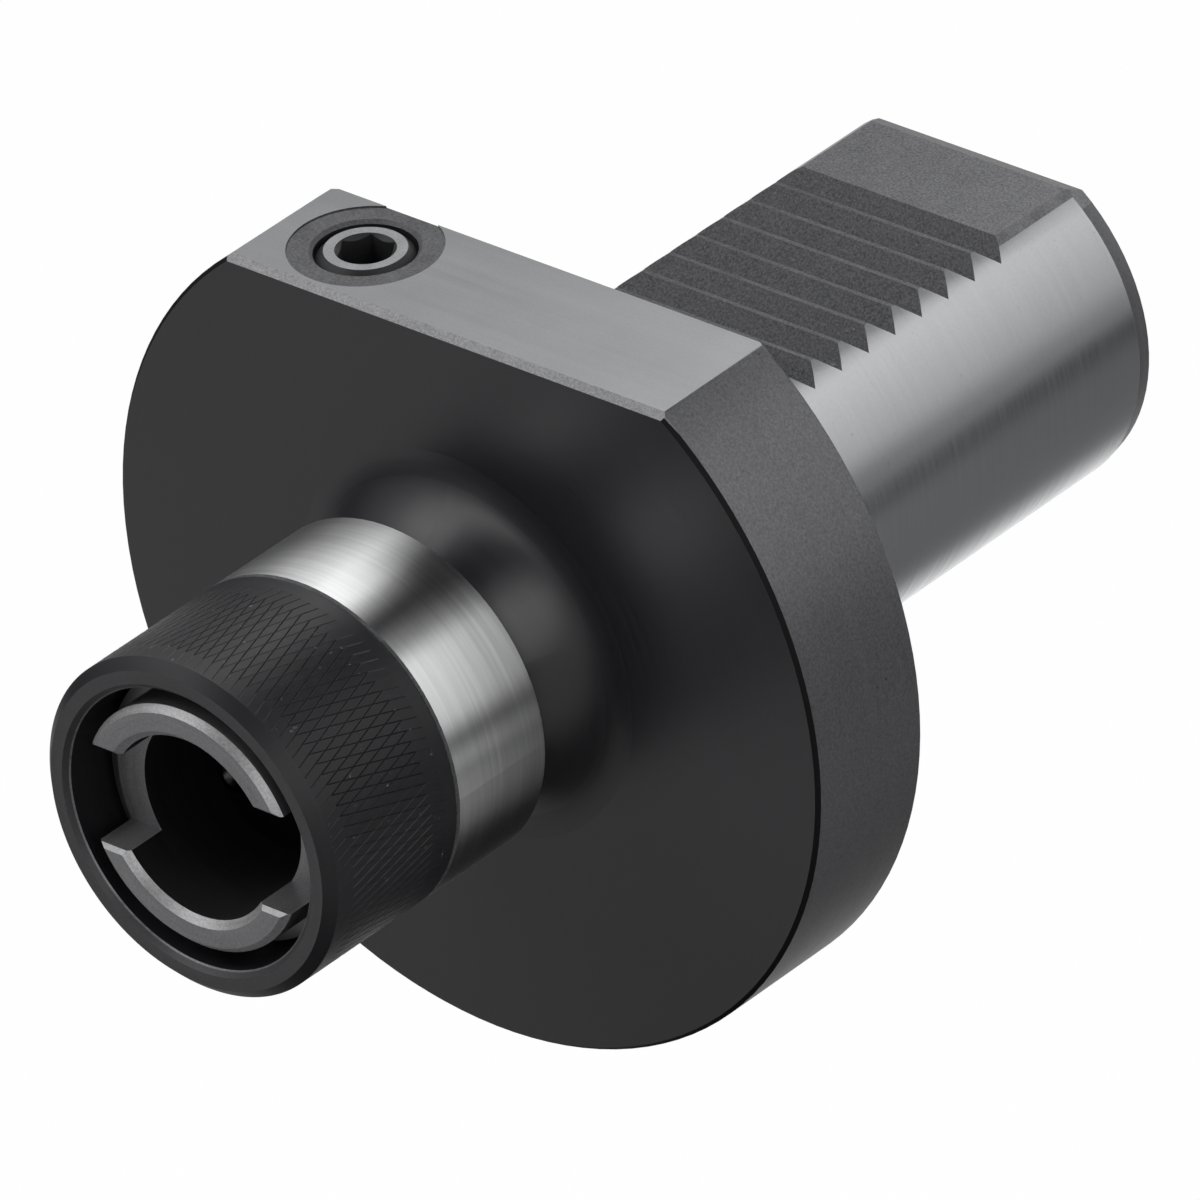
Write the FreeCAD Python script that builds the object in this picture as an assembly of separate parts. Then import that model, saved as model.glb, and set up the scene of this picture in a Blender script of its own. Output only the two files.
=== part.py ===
import FreeCAD, Part
import math
import os
from FreeCAD import Vector

# Quick-change tapping chuck on a 40 mm toothed turret shank, with a floating spindle.
# All sizes are millimetres. The origin lies on the chuck's axis in the flange's rear face,
# which seats on the turret. +Y runs along the shank, the nose points to -Y and +Z goes up
# through the flange's flat.

ORIGIN = Vector(0, 0, 0)
AXIS = Vector(0, 1, 0)

# Fits shared by several pieces
SLIDE_CLEAR = 0.03
RUN_CLEAR = 0.05
STOP_GAP = 0.1
SEAT_GAP = 0.02
CUT_MARGIN = 1.0
COIL_STEPS = 20
WIRE_SIDES = 10

# Shank with its toothed clamping flat
SHANK_R = 20.0
SHANK_LEN = 63.0
LEAD_LEN = 1.85
LEAD_RADIAL = 0.35
FLAT_Z = 16.0
FLAT_FRONT_Y = 12.8
FLAT_PLAIN_LEN = 14.2
FLAT_HALF_WIDTH = 11.85
FLAT_EDGE_SLOPE = 0.66
FLAT_END_DROP = 0.8
TOOTH_PITCH = 4.0
TOOTH_VALLEY_Z = 14.4
TOOTH_CREST_LAND = 0.5
TOOTH_RUN_IN = 4.0

# Flange
FLANGE_R = 42.5
FLANGE_THICK = 15.4
FLANGE_FLAT_Z = 33.5
FLANGE_EDGE = 0.4
FLANGE_FLAT_BEVEL_LEN = 0.75
FLANGE_FLAT_BEVEL_DROP = 0.6

# Seal ring on the shank, close behind the flange
SEAL_GROOVE_Y = 3.2
SEAL_GROOVE_WIDTH = 2.6
SEAL_GROOVE_DEPTH = 2.1
SEAL_SUNK = 0.05

# Plug screw in the flange's flat
PLUG_X = -16.5
PLUG_Y = -6.8
PLUG_R = 5.0
PLUG_LEN = 10.0
PLUG_SUNK = 0.1
PLUG_TOP_R = 4.0
PLUG_SOCKET_FLATS = 5.0
PLUG_SOCKET_DEPTH = 5.0
PLUG_SOCKET_LEAD = 0.45
SPOTFACE_R = 7.5
SPOTFACE_DEPTH = 0.15
PLUG_HOLE_DEPTH = 13.0
PLUG_HOLE_LEAD = 0.35
DRILL_POINT_SLOPE = 0.577

# Boss on the flange that guides the spindle
BOSS_WALL = 2.3
BOSS_FILLET_R = 7.5
BOSS_EDGE = 0.3

# Floating spindle
FLOAT_GAP = 9.1
FLOAT_PUSH = 6.5
HEAD_LEN = 12.7
HEAD_EDGE = 0.25
CUP_WALL = 1.9
CUP_RUNOUT = 0.4
BOSS_SETBACK = 0.6
SHAFT_R = 9.0
TUBE_R = 12.75

# Receptacle for the tap adapters
TUBE_WALL = 3.25
RECEPTACLE_DEPTH = 21.2
RECEPTACLE_SETBACK = 0.2
RECEPTACLE_LEAD = 0.7
TUBE_EDGE = 0.65
SLOT_WIDTH = 10.5
SLOT_DEPTH = 5.0
SLOT_EDGE = 0.4

# Release sleeve
SLEEVE_LEN = 18.1
SLEEVE_TRAVEL = 3.0
SLEEVE_SPRING_SPACE = 1.75
SLEEVE_WALL = 3.0
SLEEVE_BEVEL_WIDTH = 1.05
SLEEVE_BEVEL_LEN = 0.95
SLEEVE_LIP_LEAD = 0.6
SLEEVE_REAR_EDGE = 0.2
SKIRT_LEN = 3.9
SKIRT_STEP = 1.3
SKIRT_SLIDE = 0.1
POCKET_RUNOUT = 0.3
COLLAR_THICK = 1.2

# Locking balls and the ramp that drives them
BALL_R = 2.5
BALL_COUNT = 3
BALL_FIRST_ANGLE = 90.0
BALL_DEPTH = 16.7
BALL_PROTRUSION = 1.0
RAMP_SLOPE = 0.35
RAMP_RUNOUT = 0.6
BALL_RELIEF = 0.4
BALL_RELIEF_MARGIN = 0.2

# Spring and retainer of the release sleeve
RETAINER_BEHIND_SLOT = 0.6
RETAINER_THICK = 1.1
RETAINER_GAP = 0.5
RETAINER_GROOVE_DEPTH = 0.75
RETAINER_OPENING = 24.0
SEAT_WASHER_THICK = 0.8
SEAT_WASHER_GAP = 0.2
SLEEVE_SPRING_WIRE = 0.8
SLEEVE_SPRING_PITCH = 2.0

# Guides and drive in the body
GUIDE_BORE_R = 10.5
WIPER_THICK = 1.5
FRONT_BUSH_LEN = 16.4
RELIEF_R = 11.5
RELIEF_LEN = 6.2
CHAMBER_R = 12.0
DRIVE_BUSH_FRONT_Y = 1.0
DRIVE_BUSH_LEN = 20.0
KEY_WIDTH = 5.0
KEY_LEN = 11.0
KEY_FRONT_Y = 2.0
KEY_BOTTOM = 7.0
KEY_TOP = 10.6
KEY_TOP_GAP = 0.2
DOWEL_R = 1.5
DOWEL_Y = 11.0
DOWEL_TIP = 10.4
DOWEL_SUNK = 0.6

# Rear end of the spindle and the float springs
SHAFT_INSET = 2.0
TAIL_R = 6.0
SPRING_COLLAR_SHARE = 17 / 36
SPRING_COLLAR_R = 11.6
SPRING_COLLAR_THICK = 4.0
SPIGOT_R = 5.0
SPIGOT_SHORT = 0.2
TAIL_SCREW_R = 3.0
TAIL_SCREW_REACH = 14.0
TAIL_HEAD_R = 5.0
TAIL_HEAD_LEN = 6.0
TAIL_SOCKET_FLATS = 5.0
TAIL_SOCKET_DEPTH = 3.0
TAIL_WASHER_R = 6.0
TAIL_WASHER_THICK = 1.2
TENSION_WIRE = 1.8
TENSION_MEAN_R = 10.45
TENSION_PITCH = 3.4
COMPRESSION_WIRE = 1.8
COMPRESSION_MEAN_R = 9.6
COMPRESSION_PITCH = 4.4

# Plug that closes the shank
END_PLUG_R = 13.0
END_PLUG_LEN = 5.0
END_PLUG_SUNK = 1.0
END_PLUG_SOCKET_FLATS = 12.0
END_PLUG_SOCKET_DEPTH = 3.5
END_PLUG_EDGE = 0.5
END_BORE_LEAD = 0.6
PLUG_SEAL_THICK = 1.0

# Radii that follow from the receptacle tube outwards, and from the guide bore
RECEPTACLE_R = TUBE_R - TUBE_WALL
SLEEVE_BORE_R = TUBE_R + SLEEVE_SPRING_SPACE
HEAD_R = SLEEVE_BORE_R + SLEEVE_WALL
CUP_R = HEAD_R - CUP_WALL
SKIRT_R = HEAD_R - SKIRT_STEP
RETAINER_OUT_R = SLEEVE_BORE_R - RETAINER_GAP
RETAINER_GROOVE_R = TUBE_R - RETAINER_GROOVE_DEPTH
SEAT_WASHER_OUT_R = SLEEVE_BORE_R - SEAT_WASHER_GAP
BOSS_R = GUIDE_BORE_R + BOSS_WALL

# Stations along the axis that follow from the sizes above
FLANGE_FRONT_Y = -FLANGE_THICK
HEAD_REAR_Y = FLANGE_FRONT_Y - FLOAT_GAP
HEAD_FRONT_Y = HEAD_REAR_Y - HEAD_LEN
SLEEVE_REAR_Y = HEAD_FRONT_Y - STOP_GAP
SLEEVE_FRONT_Y = SLEEVE_REAR_Y - SLEEVE_LEN
TUBE_FRONT_Y = SLEEVE_FRONT_Y + RECEPTACLE_SETBACK
RECEPTACLE_FLOOR_Y = TUBE_FRONT_Y + RECEPTACLE_DEPTH
SLOT_FLOOR_Y = TUBE_FRONT_Y + SLOT_DEPTH
BOSS_FRONT_Y = HEAD_REAR_Y + BOSS_SETBACK
CUP_FLOOR_Y = BOSS_FRONT_Y - FLOAT_PUSH - CUP_RUNOUT
SKIRT_REAR_Y = SLEEVE_REAR_Y + SKIRT_LEN
POCKET_FLOOR_Y = SKIRT_REAR_Y + POCKET_RUNOUT
POCKET_R = SKIRT_R + SKIRT_SLIDE
BALL_Y = TUBE_FRONT_Y + BALL_DEPTH
BALL_SEAT_R = RECEPTACLE_R - BALL_PROTRUSION + BALL_R
RAMP_R_AT_BALL = BALL_SEAT_R + BALL_R * math.sqrt(1 + RAMP_SLOPE ** 2) + RUN_CLEAR
COLLAR_R = TUBE_R + RUN_CLEAR
COLLAR_REAR_Y = BALL_Y - (RAMP_R_AT_BALL - COLLAR_R) / RAMP_SLOPE
COLLAR_FRONT_Y = COLLAR_REAR_Y - COLLAR_THICK
RAMP_END_Y = BALL_Y + SLEEVE_TRAVEL + RAMP_RUNOUT
RETAINER_FRONT_Y = SLOT_FLOOR_Y + RETAINER_BEHIND_SLOT
SEAT_WASHER_FRONT_Y = RETAINER_FRONT_Y + RETAINER_THICK
SLEEVE_SPRING_FRONT_Y = SEAT_WASHER_FRONT_Y + SEAT_WASHER_THICK
FRONT_BUSH_FRONT_Y = BOSS_FRONT_Y + WIPER_THICK
FRONT_BUSH_REAR_Y = FRONT_BUSH_FRONT_Y + FRONT_BUSH_LEN
RELIEF_FRONT_Y = DRIVE_BUSH_FRONT_Y - RELIEF_LEN
DRIVE_BUSH_REAR_Y = DRIVE_BUSH_FRONT_Y + DRIVE_BUSH_LEN
SHAFT_END_Y = DRIVE_BUSH_REAR_Y - SHAFT_INSET
END_PLUG_REAR_Y = SHANK_LEN - END_PLUG_SUNK
END_PLUG_FRONT_Y = END_PLUG_REAR_Y - END_PLUG_LEN
CHAMBER_END_Y = END_PLUG_FRONT_Y - PLUG_SEAL_THICK
SPRING_COLLAR_Y = DRIVE_BUSH_REAR_Y + SPRING_COLLAR_SHARE * (END_PLUG_FRONT_Y - DRIVE_BUSH_REAR_Y)
COLLAR_END_Y = SPRING_COLLAR_Y + SPRING_COLLAR_THICK
SPIGOT_END_Y = COLLAR_END_Y - SPIGOT_SHORT
SCREW_HEAD_Y = COLLAR_END_Y + TAIL_WASHER_THICK
FIRST_VALLEY_Y = FLAT_FRONT_Y + TOOTH_RUN_IN
TOOTH_COUNT = round((SHANK_LEN - FLAT_PLAIN_LEN - FIRST_VALLEY_Y) / TOOTH_PITCH) + 1
LAST_VALLEY_Y = FIRST_VALLEY_Y + (TOOTH_COUNT - 1) * TOOTH_PITCH
SPOTFACE_Z = FLANGE_FLAT_Z - SPOTFACE_DEPTH
PLUG_TOP_Z = SPOTFACE_Z - PLUG_SUNK


def profile_face(steps):
    """Closed face of (r, y) points. A step of four numbers is an arc through its last two."""
    here = Vector(steps[0][0], steps[0][1], 0)
    edges = []
    for step in steps[1:] + [steps[0]]:
        there = Vector(step[0], step[1], 0)
        if len(step) == 4:
            edges.append(Part.Arc(here, Vector(step[2], step[3], 0), there).toShape())
        else:
            edges.append(Part.LineSegment(here, there).toShape())
        here = there
    return Part.Face(Part.Wire(edges))


def turned(steps):
    """Solid of revolution about the chuck's axis."""
    return profile_face(steps).revolve(ORIGIN, AXIS, 360)


def round_bar(radius, y0, y1):
    """Cylinder on the chuck's axis from y0 to y1."""
    return Part.makeCylinder(radius, y1 - y0, Vector(0, y0, 0), AXIS)


def ring(inner_r, outer_r, y0, y1):
    """Plain ring on the chuck's axis."""
    return round_bar(outer_r, y0, y1).cut(round_bar(inner_r, y0 - CUT_MARGIN, y1 + CUT_MARGIN))


def box_between(low, high):
    """Box from its lowest to its highest corner."""
    size = [b - a for a, b in zip(low, high)]
    return Part.makeBox(size[0], size[1], size[2], Vector(*low))


def hexagon_bar(flats, base, direction, length):
    """Hexagonal prism of a width across flats, for a key socket."""
    corner_r = flats / math.sqrt(3)
    corners = []
    for i in range(6):
        turn = math.radians(60 * i)
        corners.append(Vector(corner_r * math.cos(turn), corner_r * math.sin(turn), 0))
    bar = Part.Face(Part.makePolygon(corners + [corners[0]])).extrude(Vector(0, 0, length))
    bar.Placement = FreeCAD.Placement(base, FreeCAD.Rotation(Vector(0, 0, 1), direction))
    return bar


def coil(mean_r, wire_diameter, y0, y1, pitch):
    """Spring on the chuck's axis that fills y0 to y1, of short straight lengths of wire."""
    wire_r = wire_diameter / 2
    height = y1 - y0 - wire_diameter
    count = round(height / pitch * COIL_STEPS)
    points = []
    for i in range(count + 1):
        turn = 2 * math.pi * i / COIL_STEPS
        climb = y0 + wire_r + height * i / count
        points.append(Vector(mean_r * math.cos(turn), climb, mean_r * math.sin(turn)))
    start = FreeCAD.Placement(
        points[0], FreeCAD.Rotation(Vector(0, 0, 1), points[1] - points[0])
    )
    corners = []
    for i in range(WIRE_SIDES):
        turn = 2 * math.pi * i / WIRE_SIDES
        corners.append(start.multVec(Vector(wire_r * math.cos(turn), wire_r * math.sin(turn), 0)))
    section = Part.makePolygon(corners + [corners[0]])
    return Part.makePolygon(points).makePipeShell([section], True, False, 1)


def spin(shape, angle):
    """Copy of a shape turned about the chuck's axis, from +X towards +Z."""
    copy = shape.copy()
    copy.rotate(ORIGIN, AXIS, -angle)
    return copy


# Body


def flat_cut():
    """Prism that clears the shank's flat and cuts the V grooves between its teeth."""
    half = (TOOTH_PITCH - TOOTH_CREST_LAND) / 2
    above = SHANK_R + CUT_MARGIN
    points = [(FLAT_FRONT_Y, above), (FLAT_FRONT_Y, FLAT_Z)]
    for i in range(TOOTH_COUNT):
        valley = FIRST_VALLEY_Y + i * TOOTH_PITCH
        points.append((valley - half, FLAT_Z))
        points.append((valley, TOOTH_VALLEY_Z))
        points.append((valley + half, FLAT_Z))
    points.append((SHANK_LEN - LEAD_LEN, FLAT_Z))
    points.append((SHANK_LEN, FLAT_Z - FLAT_END_DROP))
    points.append((SHANK_LEN + CUT_MARGIN, FLAT_Z - FLAT_END_DROP))
    points.append((SHANK_LEN + CUT_MARGIN, above))
    corners = [Vector(-above, y, z) for y, z in points]
    face = Part.Face(Part.makePolygon(corners + [corners[0]]))
    return face.extrude(Vector(2 * above, 0, 0))


def flat_edge_cut(side):
    """Prism that bevels one long edge of the plain part of the flat."""
    reach = SHANK_R - FLAT_HALF_WIDTH
    start = LAST_VALLEY_Y
    corners = [
        Vector(side * FLAT_HALF_WIDTH, start, FLAT_Z),
        Vector(side * SHANK_R, start, FLAT_Z - FLAT_EDGE_SLOPE * reach),
        Vector(side * SHANK_R, start, SHANK_R),
        Vector(side * FLAT_HALF_WIDTH, start, SHANK_R),
    ]
    face = Part.Face(Part.makePolygon(corners + [corners[0]]))
    return face.extrude(Vector(0, SHANK_LEN + CUT_MARGIN - start, 0))


def body_blank():
    """Shank, flange and boss, turned in one piece."""
    fillet_y = FLANGE_FRONT_Y - BOSS_FILLET_R
    bow = BOSS_FILLET_R * math.sqrt(0.5)
    lead_y = SHANK_LEN - LEAD_LEN
    groove_end = SEAL_GROOVE_Y + SEAL_GROOVE_WIDTH
    groove_r = SHANK_R - SEAL_GROOVE_DEPTH
    return turned(
        [
            (0, BOSS_FRONT_Y),
            (BOSS_R - BOSS_EDGE, BOSS_FRONT_Y),
            (BOSS_R, BOSS_FRONT_Y + BOSS_EDGE),
            (BOSS_R, fillet_y),
            (
                BOSS_R + BOSS_FILLET_R,
                FLANGE_FRONT_Y,
                BOSS_R + BOSS_FILLET_R - bow,
                fillet_y + bow,
            ),
            (FLANGE_R - FLANGE_EDGE, FLANGE_FRONT_Y),
            (FLANGE_R, FLANGE_FRONT_Y + FLANGE_EDGE),
            (FLANGE_R, -FLANGE_EDGE),
            (FLANGE_R - FLANGE_EDGE, 0),
            (SHANK_R, 0),
            (SHANK_R, SEAL_GROOVE_Y),
            (groove_r, SEAL_GROOVE_Y),
            (groove_r, groove_end),
            (SHANK_R, groove_end),
            (SHANK_R, FLAT_FRONT_Y),
            (SHANK_R, lead_y),
            (SHANK_R - LEAD_RADIAL, SHANK_LEN),
            (0, SHANK_LEN),
        ]
    )


def body_bore():
    """Stepped bore for guides, springs and end plug."""
    front = BOSS_FRONT_Y - CUT_MARGIN
    lead_y = SHANK_LEN - END_BORE_LEAD
    return turned(
        [
            (0, front),
            (GUIDE_BORE_R, front),
            (GUIDE_BORE_R, RELIEF_FRONT_Y),
            (RELIEF_R, RELIEF_FRONT_Y),
            (RELIEF_R, DRIVE_BUSH_FRONT_Y),
            (CHAMBER_R, DRIVE_BUSH_FRONT_Y),
            (CHAMBER_R, CHAMBER_END_Y),
            (END_PLUG_R, CHAMBER_END_Y),
            (END_PLUG_R, lead_y),
            (END_PLUG_R + END_BORE_LEAD, SHANK_LEN),
            (END_PLUG_R + END_BORE_LEAD, SHANK_LEN + CUT_MARGIN),
            (0, SHANK_LEN + CUT_MARGIN),
        ]
    )


def flange_flat_cut():
    """Block that makes the flange's top flat, with a bevel along its front edge."""
    bevel_y = FLANGE_FRONT_Y + FLANGE_FLAT_BEVEL_LEN
    front = FLANGE_FRONT_Y - CUT_MARGIN
    top = FLANGE_R + CUT_MARGIN
    low_z = FLANGE_FLAT_Z - FLANGE_FLAT_BEVEL_DROP
    corners = [
        Vector(-top, front, top),
        Vector(-top, front, low_z),
        Vector(-top, FLANGE_FRONT_Y, low_z),
        Vector(-top, bevel_y, FLANGE_FLAT_Z),
        Vector(-top, CUT_MARGIN, FLANGE_FLAT_Z),
        Vector(-top, CUT_MARGIN, top),
    ]
    face = Part.Face(Part.makePolygon(corners + [corners[0]]))
    return face.extrude(Vector(2 * top, 0, 0))


def plug_hole_cut():
    """Spotface and blind tapped hole in the flange's flat."""
    down = Vector(0, 0, -1)
    seat = Part.makeCylinder(
        SPOTFACE_R, SPOTFACE_DEPTH + CUT_MARGIN, Vector(PLUG_X, PLUG_Y, FLANGE_FLAT_Z + CUT_MARGIN), down
    )
    lead = Part.makeCone(
        PLUG_R + PLUG_HOLE_LEAD, PLUG_R, PLUG_HOLE_LEAD, Vector(PLUG_X, PLUG_Y, SPOTFACE_Z), down
    )
    bore = Part.makeCylinder(PLUG_R, PLUG_HOLE_DEPTH, Vector(PLUG_X, PLUG_Y, SPOTFACE_Z), down)
    tip = Part.makeCone(
        PLUG_R,
        0,
        PLUG_R * DRILL_POINT_SLOPE,
        Vector(PLUG_X, PLUG_Y, SPOTFACE_Z - PLUG_HOLE_DEPTH),
        down,
    )
    return seat.fuse([lead, bore, tip])


def dowel_bar(low_z, high_z):
    """Upright round bar in the place of the drive bush's dowel."""
    return Part.makeCylinder(DOWEL_R, high_z - low_z, Vector(0, DOWEL_Y, low_z), Vector(0, 0, 1))


def make_holder_body():
    """Turned blank with its seam under the flats, bored, toothed and flatted."""
    body = spin(body_blank(), 90).cut(body_bore())
    body = body.cut(flat_cut())
    body = body.cut([flat_edge_cut(1), flat_edge_cut(-1)])
    body = body.cut(flange_flat_cut())
    body = body.cut(plug_hole_cut())
    return body.cut(dowel_bar(-SHANK_R - CUT_MARGIN, -DOWEL_TIP))


def make_flange_plug_screw():
    """Set screw with a chamfered top and a hexagon socket with a conical mouth, point down."""
    up = Vector(0, 0, 1)
    bottom_z = PLUG_TOP_Z - PLUG_LEN
    slope = PLUG_R - PLUG_TOP_R
    foot = Part.makeCone(PLUG_TOP_R, PLUG_R, slope, Vector(PLUG_X, PLUG_Y, bottom_z), up)
    shank = Part.makeCylinder(PLUG_R, PLUG_LEN - 2 * slope, Vector(PLUG_X, PLUG_Y, bottom_z + slope), up)
    top = Part.makeCone(PLUG_R, PLUG_TOP_R, slope, Vector(PLUG_X, PLUG_Y, PLUG_TOP_Z - slope), up)
    socket = hexagon_bar(
        PLUG_SOCKET_FLATS,
        Vector(PLUG_X, PLUG_Y, PLUG_TOP_Z - PLUG_SOCKET_DEPTH),
        up,
        PLUG_SOCKET_DEPTH + CUT_MARGIN,
    )
    mouth_r = PLUG_SOCKET_FLATS / 2
    mouth = Part.makeCone(
        mouth_r,
        mouth_r + PLUG_SOCKET_LEAD,
        PLUG_SOCKET_LEAD,
        Vector(PLUG_X, PLUG_Y, PLUG_TOP_Z - PLUG_SOCKET_LEAD),
        up,
    )
    return shank.fuse([foot, top]).removeSplitter().cut([socket, mouth])


def make_shank_seal_ring():
    """Round-section ring that fills its groove to just under the shank's surface."""
    section_r = (SEAL_GROOVE_DEPTH - SEAL_SUNK) / 2
    centre_r = SHANK_R - SEAL_GROOVE_DEPTH + section_r
    centre_y = SEAL_GROOVE_Y + SEAL_GROOVE_WIDTH / 2
    return Part.makeTorus(centre_r, section_r, Vector(0, centre_y, 0), AXIS)


def make_front_wiper_ring():
    return ring(SHAFT_R + RUN_CLEAR, GUIDE_BORE_R, BOSS_FRONT_Y, FRONT_BUSH_FRONT_Y)


def make_front_guide_bush():
    return ring(SHAFT_R + SLIDE_CLEAR, GUIDE_BORE_R, FRONT_BUSH_FRONT_Y, FRONT_BUSH_REAR_Y)


def make_drive_bush():
    """Rear guide with two keyways that turn the spindle with the body."""
    bush = ring(SHAFT_R + SLIDE_CLEAR, CHAMBER_R, DRIVE_BUSH_FRONT_Y, DRIVE_BUSH_REAR_Y)
    half = KEY_WIDTH / 2 + SLIDE_CLEAR
    reach = KEY_TOP + KEY_TOP_GAP
    keyways = box_between(
        (-reach, DRIVE_BUSH_FRONT_Y - CUT_MARGIN, -half),
        (reach, DRIVE_BUSH_REAR_Y + CUT_MARGIN, half),
    )
    return bush.cut([keyways, dowel_bar(-CHAMBER_R - CUT_MARGIN, -DOWEL_TIP)])


def make_bush_dowel():
    return dowel_bar(-SHANK_R + DOWEL_SUNK, -DOWEL_TIP)


def make_plug_seal_ring():
    return ring(CHAMBER_R, END_PLUG_R, CHAMBER_END_Y, END_PLUG_FRONT_Y)


def make_shank_end_plug():
    """Threaded plug with a hexagon socket that holds the springs in the shank."""
    plug = turned(
        [
            (0, END_PLUG_FRONT_Y),
            (END_PLUG_R, END_PLUG_FRONT_Y),
            (END_PLUG_R, END_PLUG_REAR_Y - END_PLUG_EDGE),
            (END_PLUG_R - END_PLUG_EDGE, END_PLUG_REAR_Y),
            (0, END_PLUG_REAR_Y),
        ]
    )
    socket = hexagon_bar(
        END_PLUG_SOCKET_FLATS,
        Vector(0, END_PLUG_REAR_Y - END_PLUG_SOCKET_DEPTH, 0),
        AXIS,
        END_PLUG_SOCKET_DEPTH + CUT_MARGIN,
    )
    return plug.cut(socket)


# Spindle


def spindle_blank():
    """Receptacle tube, head, shaft and tail, turned in one piece."""
    return turned(
        [
            (0, TUBE_FRONT_Y),
            (TUBE_R - TUBE_EDGE, TUBE_FRONT_Y),
            (TUBE_R, TUBE_FRONT_Y + TUBE_EDGE),
            (TUBE_R, POCKET_FLOOR_Y),
            (POCKET_R, POCKET_FLOOR_Y),
            (POCKET_R, HEAD_FRONT_Y),
            (HEAD_R - HEAD_EDGE, HEAD_FRONT_Y),
            (HEAD_R, HEAD_FRONT_Y + HEAD_EDGE),
            (HEAD_R, HEAD_REAR_Y - HEAD_EDGE),
            (HEAD_R - HEAD_EDGE, HEAD_REAR_Y),
            (CUP_R, HEAD_REAR_Y),
            (CUP_R, CUP_FLOOR_Y),
            (SHAFT_R, CUP_FLOOR_Y),
            (SHAFT_R, SHAFT_END_Y),
            (TAIL_R, SHAFT_END_Y),
            (TAIL_R, SPRING_COLLAR_Y),
            (SPIGOT_R, SPRING_COLLAR_Y),
            (SPIGOT_R, SPIGOT_END_Y),
            (0, SPIGOT_END_Y),
        ]
    )


def receptacle_bore():
    """Adapter bore with its lead-in at the front and a shallow relief at the balls."""
    front = TUBE_FRONT_Y - CUT_MARGIN
    half = BALL_R + BALL_RELIEF_MARGIN
    return turned(
        [
            (0, front),
            (RECEPTACLE_R + RECEPTACLE_LEAD + CUT_MARGIN, front),
            (RECEPTACLE_R, TUBE_FRONT_Y + RECEPTACLE_LEAD),
            (RECEPTACLE_R, BALL_Y - half),
            (RECEPTACLE_R + BALL_RELIEF, BALL_Y - half),
            (RECEPTACLE_R + BALL_RELIEF, BALL_Y + half),
            (RECEPTACLE_R, BALL_Y + half),
            (RECEPTACLE_R, RECEPTACLE_FLOOR_Y),
            (0, RECEPTACLE_FLOOR_Y),
        ]
    )


def drive_slots_cut():
    """One prism through both walls of the receptacle, with bevelled mouths."""
    half = SLOT_WIDTH / 2
    front = TUBE_FRONT_Y - CUT_MARGIN
    wide = half + SLOT_EDGE + CUT_MARGIN
    reach = TUBE_R + CUT_MARGIN
    points = [
        (front, -wide),
        (TUBE_FRONT_Y + SLOT_EDGE, -half),
        (SLOT_FLOOR_Y, -half),
        (SLOT_FLOOR_Y, half),
        (TUBE_FRONT_Y + SLOT_EDGE, half),
        (front, wide),
    ]
    corners = [Vector(-reach, y, z) for y, z in points]
    face = Part.Face(Part.makePolygon(corners + [corners[0]]))
    return face.extrude(Vector(2 * reach, 0, 0))


def ball_hole_cut(angle):
    """Radial hole with a round seat that keeps the ball from falling into the bore."""
    hole_r = BALL_R + RUN_CLEAR
    seat = Part.makeSphere(hole_r, Vector(BALL_SEAT_R, BALL_Y, 0))
    bore = Part.makeCylinder(
        hole_r, TUBE_R + CUT_MARGIN - BALL_SEAT_R, Vector(BALL_SEAT_R, BALL_Y, 0), Vector(1, 0, 0)
    )
    return spin(seat.fuse(bore), angle)


def ball_angles():
    return [BALL_FIRST_ANGLE + i * 360.0 / BALL_COUNT for i in range(BALL_COUNT)]


def make_spindle():
    spindle = spindle_blank().cut(receptacle_bore())
    spindle = spindle.cut(drive_slots_cut())
    spindle = spindle.cut([ball_hole_cut(angle) for angle in ball_angles()])
    groove = ring(RETAINER_GROOVE_R, TUBE_R + CUT_MARGIN, RETAINER_FRONT_Y, SEAT_WASHER_FRONT_Y)
    tapping = round_bar(TAIL_SCREW_R, SCREW_HEAD_Y - TAIL_SCREW_REACH, SPIGOT_END_Y + CUT_MARGIN)
    return spindle.cut([groove, tapping, drive_key(1), drive_key(-1)])


def drive_key(side):
    """Square-ended feather key let into one side of the shaft."""
    half = KEY_WIDTH / 2
    near, far = sorted((side * KEY_BOTTOM, side * KEY_TOP))
    return box_between((near, KEY_FRONT_Y, -half), (far, KEY_FRONT_Y + KEY_LEN, half))


def make_spring_collar():
    return ring(SPIGOT_R, SPRING_COLLAR_R, SPRING_COLLAR_Y, COLLAR_END_Y)


def make_tail_washer():
    return ring(TAIL_SCREW_R, TAIL_WASHER_R, COLLAR_END_Y, SCREW_HEAD_Y)


def make_tail_screw():
    """Socket-head screw that clamps the spring collar to the spindle's tail."""
    shank = round_bar(TAIL_SCREW_R, SCREW_HEAD_Y - TAIL_SCREW_REACH, SCREW_HEAD_Y)
    head = round_bar(TAIL_HEAD_R, SCREW_HEAD_Y, SCREW_HEAD_Y + TAIL_HEAD_LEN)
    socket = hexagon_bar(
        TAIL_SOCKET_FLATS,
        Vector(0, SCREW_HEAD_Y + TAIL_HEAD_LEN - TAIL_SOCKET_DEPTH, 0),
        AXIS,
        TAIL_SOCKET_DEPTH + CUT_MARGIN,
    )
    return shank.fuse(head).cut(socket)


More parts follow.
